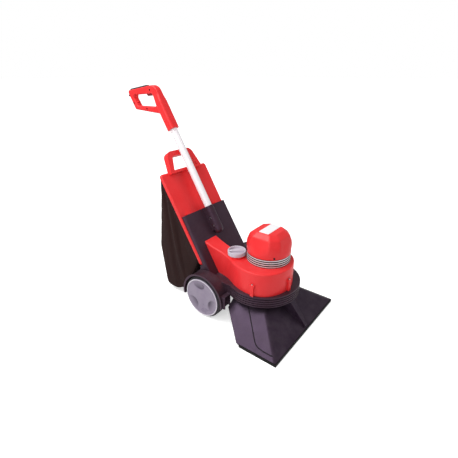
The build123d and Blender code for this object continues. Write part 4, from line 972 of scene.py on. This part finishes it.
def cover_radius(settings, angle, rise, height):
    """Radius of the motor cover at an angle and a rise above its foot."""
    foot, shoulder = settings.foot, settings.shoulder
    lower = between(rise, settings.band, settings.shoulder_height)
    upper = between(rise, settings.shoulder_height, height)
    wide = foot + (shoulder - foot) * lower + (settings.top - shoulder) * upper
    faces = soft_faces(angle, wide, settings.cut * wide, settings.sharpness)
    drum = foot + (settings.cut * shoulder - foot) * lower
    faced = between(lower, 0.0, settings.faced)
    return (1 - faced) * drum + faced * faces


def motor_cover(settings):
    """Moulded motor cover: a round foot that turns into soft faces under a flat top."""
    lowest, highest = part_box("motor_dome")
    height = highest.z - lowest.z
    bm = bmesh.new()
    bmesh.ops.create_circle(bm, radius=settings.foot, segments=settings.segments)
    rim = list(bm.edges)
    for level in range(1, settings.levels + 1):
        rise = height * level / settings.levels
        grown = bmesh.ops.extrude_edge_only(bm, edges=rim)["geom"]
        raised = {part for part in grown if isinstance(part, bmesh.types.BMVert)}
        rim = [part for part in grown
               if isinstance(part, bmesh.types.BMEdge) and raised.issuperset(part.verts)]
        for vert in raised:
            angle = math.atan2(vert.co.y, vert.co.x)
            radius = cover_radius(settings, angle, rise, height)
            vert.co = (radius * math.cos(angle), radius * math.sin(angle), rise)
    top = bmesh.ops.edgeloop_fill(bm, edges=rim)["faces"]
    bmesh.ops.inset_region(bm, faces=top, thickness=settings.top_border)
    bmesh.ops.translate(bm, verts=bm.verts, vec=(*box_middle("motor_dome").xy, lowest.z))
    return smooth(mesh_from(bm, "motor_cover"))


class MACHINE_OT_motor_cover(bpy.types.Operator):
    """Build the soft-faced motor cover"""
    bl_idname = "machine.motor_cover"
    bl_label = "Motor cover"

    def execute(self, context):
        settings = context.scene.machine_cover
        cover = new_piece("motor_cover", motor_cover(settings), red_moulding, "chassis")
        thicken(cover, settings.wall)
        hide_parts("motor_dome")
        return {"FINISHED"}


def hub_face(settings, reach, radius, thickness):
    """Height of a hub cap's face at a distance from its middle, with the bead at the rim."""
    inner = radius * (1 - settings.bead)
    along = between(reach, inner, radius)
    crown = settings.face * thickness - settings.dish * thickness * between(reach, 0.0, inner)
    return crown + (thickness - crown) * math.sin(math.pi * min(1.0, settings.roll * along))


def hollow_depth(settings, front, up, radius, thickness):
    """How deep the scooped hollows are at a place on a hub cap."""
    size = settings.hollow * radius
    inner = radius * (settings.reach - settings.hollow)
    slope = 1 - between(math.hypot(front, up), inner, radius * (1 - settings.bead))
    deepest = 0.0
    for turn in range(settings.hollows):
        angle = settings.first_angle + turn * math.tau / settings.hollows
        middle = Vector((math.cos(angle), math.sin(angle))) * (settings.reach * radius)
        away = (Vector((front, up)) - middle).length
        deepest = max(deepest, between(away, size, size - settings.hollow_wall) * slope)
    return settings.deep * thickness * deepest


def hub_disc(settings, radius, thickness):
    """Hub cap on the x axis with its face towards +x: a dished disc with a bead and scooped hollows."""
    inner = radius * (1 - settings.bead)
    reaches = [inner * ring / settings.rings for ring in range(settings.rings + 1)]
    across = settings.bead_rings
    reaches += [inner + (radius - inner) * ring / across for ring in range(1, across + 1)]
    profile = [(hub_face(settings, reach, radius, thickness), 0, reach) for reach in reaches]
    bm = turned([*profile, (0, 0, radius), (0, 0, 0)], (1, 0, 0), settings.segments)
    for vert in bm.verts:
        if vert.co.x > 0:
            vert.co.x -= hollow_depth(settings, -vert.co.y, vert.co.z, radius, thickness)
    return bm


class MACHINE_OT_hub_caps(bpy.types.Operator):
    """Build the two hub caps with their scooped hollows"""
    bl_idname = "machine.hub_caps"
    bl_label = "Hub caps"

    def execute(self, context):
        for side, out in (("right", -1), ("left", 1)):
            lowest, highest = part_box(f"hub_cap_{side}")
            bm = hub_disc(context.scene.machine_hubs, (highest.z - lowest.z) / 2, highest.x - lowest.x)
            bmesh.ops.scale(bm, vec=(out, 1, 1), verts=bm.verts)
            inside = highest.x if out < 0 else lowest.x
            bmesh.ops.translate(bm, verts=bm.verts, vec=(inside, *box_middle(f"hub_cap_{side}").yz))
            mesh = smooth(mesh_from(bm, f"hub_cover_{side}"))
            cap = new_piece(f"hub_cover_{side}", mesh, grey_moulding, f"wheel_{side}")
            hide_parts(f"hub_cap_{side}")
        return {"FINISHED"}


def cap_dish(settings):
    """Round cap with a softened rim and a finger bar across its hollow."""
    lowest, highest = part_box("cleanout_cap")
    radius = (highest.x - lowest.x) / 2
    top = settings.height
    soft = settings.rim / 2
    profile = [(0, 0, 0), (radius, 0, 0)]
    for step in range(settings.rim_steps + 1):
        angle = math.pi * step / settings.rim_steps
        profile.append((radius - soft + soft * math.cos(angle), 0, top - soft + soft * math.sin(angle)))
    profile += [(radius - settings.rim, 0, top - settings.recess), (0, 0, top - settings.recess)]
    bm = turned(profile, (0, 0, 1), settings.segments)
    size = Vector((2 * radius - settings.rim, settings.bar, settings.recess))
    lift = Matrix.Translation((0, 0, top - size.z / 2 - settings.bar_drop))
    place = Matrix.Rotation(settings.turn, 4, "Z") @ lift @ Matrix.Diagonal((*size, 1))
    bar = bmesh.ops.create_cube(bm, size=1.0, matrix=place)["verts"]
    ridges = [edge for edge in bm.edges
              if all(end in bar and end.co.z > top - 2 * settings.bar_drop for end in edge.verts)]
    bevel(bm, ridges, settings.bar_round, segments=3)
    bmesh.ops.translate(bm, verts=bm.verts, vec=(*box_middle("cleanout_cap").xy, highest.z - top))
    return smooth(mesh_from(bm, "cap_dish"))


class MACHINE_OT_cap(bpy.types.Operator):
    """Build the clean-out cap with its finger bar"""
    bl_idname = "machine.cap"
    bl_label = "Clean-out cap"

    def execute(self, context):
        settings = context.scene.machine_cap
        mesh = cap_dish(settings)
        mesh.set_sharp_from_angle(angle=settings.crease)
        cap = new_piece("cap_dish", mesh, pale_moulding, "cap")
        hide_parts("cleanout_cap")
        return {"FINISHED"}


class MACHINE_OT_hood_beads(bpy.types.Operator):
    """Run the fine moulded bead down the crease of each hood slope"""
    bl_idname = "machine.hood_beads"
    bl_label = "Hood beads"

    def execute(self, context):
        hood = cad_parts["suction_hood"].data
        for name, side in (("right", 1), ("left", -1)):
            corners = [machine_point(side * x, back, height) for x, back, height in HOOD_CREASE]
            mesh = round_line(hood, corners, context.scene.machine_trim.bead, spacing=0.02)
            new_piece(f"hood_bead_{name}", mesh, dark_lip, "chassis")
        return {"FINISHED"}


# Finishes on the CAD nodes

class MACHINE_OT_body_finishes(bpy.types.Operator):
    """Finish the hood, chassis and tower"""
    bl_idname = "machine.body_finishes"
    bl_label = "Hood, chassis and tower"

    def execute(self, context):
        dress(hood_moulding, "suction_hood")
        dress(black_moulding, "chassis_shell", "duct_tower")
        dress(dark_lip, "hood_lip")
        return {"FINISHED"}


class MACHINE_OT_wheel_finishes(bpy.types.Operator):
    """Finish the wheels and their axle"""
    bl_idname = "machine.wheel_finishes"
    bl_label = "Wheels and axle"

    def execute(self, context):
        dress(soft_rubber, "tyre_right", "tyre_left")
        dress(grey_moulding, "hub_cap_right", "hub_cap_left")
        dress(wheel_moulding, "wheel_core_right", "wheel_core_left")
        dress(machined_steel, "axle", "axle_clips")
        return {"FINISHED"}


class MACHINE_OT_fan_finishes(bpy.types.Operator):
    """Finish the fan housing, the motor and what turns inside them"""
    bl_idname = "machine.fan_finishes"
    bl_label = "Fan and motor"

    def execute(self, context):
        dress(red_moulding, "scroll_housing", "motor_dome")
        dress(black_moulding, "fan_floor")
        dress(fan_moulding, "impeller")
        dress(pale_moulding, "cleanout_cap")
        dress(cast_alloy, "motor_base_ring")
        dress(core_steel, "stator_core", "armature", "motor_can")
        dress(machined_steel, "motor_shaft", "bearing_lower", "bearing_upper", "impeller_nut")
        dress(machined_steel, "scroll_screws")
        dress(blackened_steel, "dome_screws")
        return {"FINISHED"}


class MACHINE_OT_handle_finishes(bpy.types.Operator):
    """Finish the handle tube, the bag frame, the grip and its trigger"""
    bl_idname = "machine.handle_finishes"
    bl_label = "Handle and bag frame"

    def execute(self, context):
        dress(tube_enamel, "handle_tube")
        dress(red_moulding, "bag_frame", "grip_right", "grip_left")
        dress(trigger_moulding, "trigger")
        dress(switch_moulding, "switch_body")
        dress(soft_rubber, "cord_gland", "grip_pad")
        dress(bag_cloth, "dust_bag")
        dress(machined_steel, "trigger_pin", "tube_screws")
        dress(blackened_steel, "grip_screws")
        return {"FINISHED"}


# Stage

def pale_floor(settings):
    """Floor finish that is seen as white and still takes the object's shadow."""
    material, tree, place = new_material("pale_floor")
    cloud = noise_value(tree, place, Scale=1.5, Detail=2.0)
    away = add_node(tree, "ShaderNodeVectorMath", {0: place}, operation="LENGTH").outputs["Value"]
    glow = map_range(tree, away, GLOW_NEAR, GLOW_FAR, settings.floor_lift, 1.0)
    seen = add_node(tree, "ShaderNodeLightPath").outputs["Is Camera Ray"]
    tinted = blend(tree, cloud, 0.04, settings.floor, (0.80, 0.80, 0.80))
    return set_shader(material, Base_Color=tinted, Roughness=0.9, Emission_Color=(1, 1, 1, 1),
                      Emission_Strength=calculate(tree, "MULTIPLY", seen, glow))


def studio_world(settings):
    """Even light from all round, with a white backdrop where it is seen."""
    world = bpy.data.worlds.new("studio")
    world.use_nodes = True
    tree = world.node_tree
    background = tree.nodes["Background"]
    background.inputs["Color"].default_value = (1, 1, 1, 1)
    seen = add_node(tree, "ShaderNodeLightPath").outputs["Is Camera Ray"]
    feed(tree, background.inputs["Strength"], map_range(tree, seen, 0.0, 1.0, settings.sky, 1.0))
    bpy.context.scene.world = world


def looking(direction):
    """Turn of a light or camera that looks in a direction."""
    return Vector(direction).to_track_quat("-Z", "Y").to_euler()


def soft_light(name, place, target, size, power, mirrored):
    """Square studio light that faces a target, and may be kept out of the shine."""
    lamp = bpy.data.lights.new(name, "AREA")
    lamp.size = size
    lamp.energy = power
    holder = new_object(name, lamp)
    holder.location = place
    holder.rotation_euler = looking(target - place)
    holder.visible_glossy = mirrored


class MACHINE_OT_stage(bpy.types.Operator):
    """Set up the floor, the studio light and the camera"""
    bl_idname = "machine.stage"
    bl_label = "Stage"

    def execute(self, context):
        scene = context.scene
        settings = scene.machine_stage
        bm = bmesh.new()
        bmesh.ops.create_grid(bm, x_segments=2, y_segments=2, size=FLOOR_REACH)
        floor = new_object("floor", mesh_from(bm, "floor"))
        floor.data.materials.append(pale_floor(settings))
        studio_world(settings)
        middle = (CAD_BOX[0] + CAD_BOX[1]) / 2
        for name, place, size, mirrored in LIGHTS:
            soft_light(name, middle + Vector(place), middle, size, getattr(settings, name), mirrored)
        camera = new_object("camera", bpy.data.cameras.new("camera"))
        camera.data.lens = settings.lens
        camera.location = machine_point(*settings.camera_place)
        camera.rotation_euler = looking(settings.camera_aim)
        scene.camera = camera
        scene.view_settings.view_transform = "Standard"
        return {"FINISHED"}


OPERATORS = (MACHINE_OT_stage, MACHINE_OT_body_finishes, MACHINE_OT_wheel_finishes, MACHINE_OT_fan_finishes,
             MACHINE_OT_handle_finishes, MACHINE_OT_motor_cover, MACHINE_OT_hub_caps, MACHINE_OT_cap,
             MACHINE_OT_hood_beads, MACHINE_OT_dust_bag, MACHINE_OT_label_plate, MACHINE_OT_grip_inlay)


class MACHINE_PT_looks(bpy.types.Panel):
    """Looks of the machine, piece by piece"""
    bl_idname = "MACHINE_PT_looks"
    bl_label = "Machine looks"
    bl_space_type = "VIEW_3D"
    bl_region_type = "UI"
    bl_category = "Machine"

    def draw(self, context):
        for operator in OPERATORS:
            self.layout.operator(operator.bl_idname)


SETTINGS = {"machine_finishes": FinishSettings, "machine_bag": BagSettings, "machine_label": LabelSettings,
            "machine_inlay": InlaySettings, "machine_cover": CoverSettings, "machine_hubs": HubSettings,
            "machine_cap": CapSettings, "machine_trim": TrimSettings, "machine_stage": StageSettings}
CLASSES = (*SETTINGS.values(), *OPERATORS, MACHINE_PT_looks)


def register():
    for kind in CLASSES:
        bpy.utils.register_class(kind)
    for name, kind in SETTINGS.items():
        setattr(bpy.types.Scene, name, PointerProperty(type=kind))


def unregister():
    for name in SETTINGS:
        delattr(bpy.types.Scene, name)
    for kind in reversed(CLASSES):
        bpy.utils.unregister_class(kind)


def main():
    """Makes every piece in order."""
    register()
    bpy.ops.machine.stage()
    bpy.ops.machine.body_finishes()
    bpy.ops.machine.wheel_finishes()
    bpy.ops.machine.fan_finishes()
    bpy.ops.machine.handle_finishes()
    bpy.ops.machine.motor_cover()
    bpy.ops.machine.hub_caps()
    bpy.ops.machine.cap()
    bpy.ops.machine.hood_beads()
    bpy.ops.machine.dust_bag()
    bpy.ops.machine.label_plate()
    bpy.ops.machine.grip_inlay()


if __name__ == "__main__":
    main()
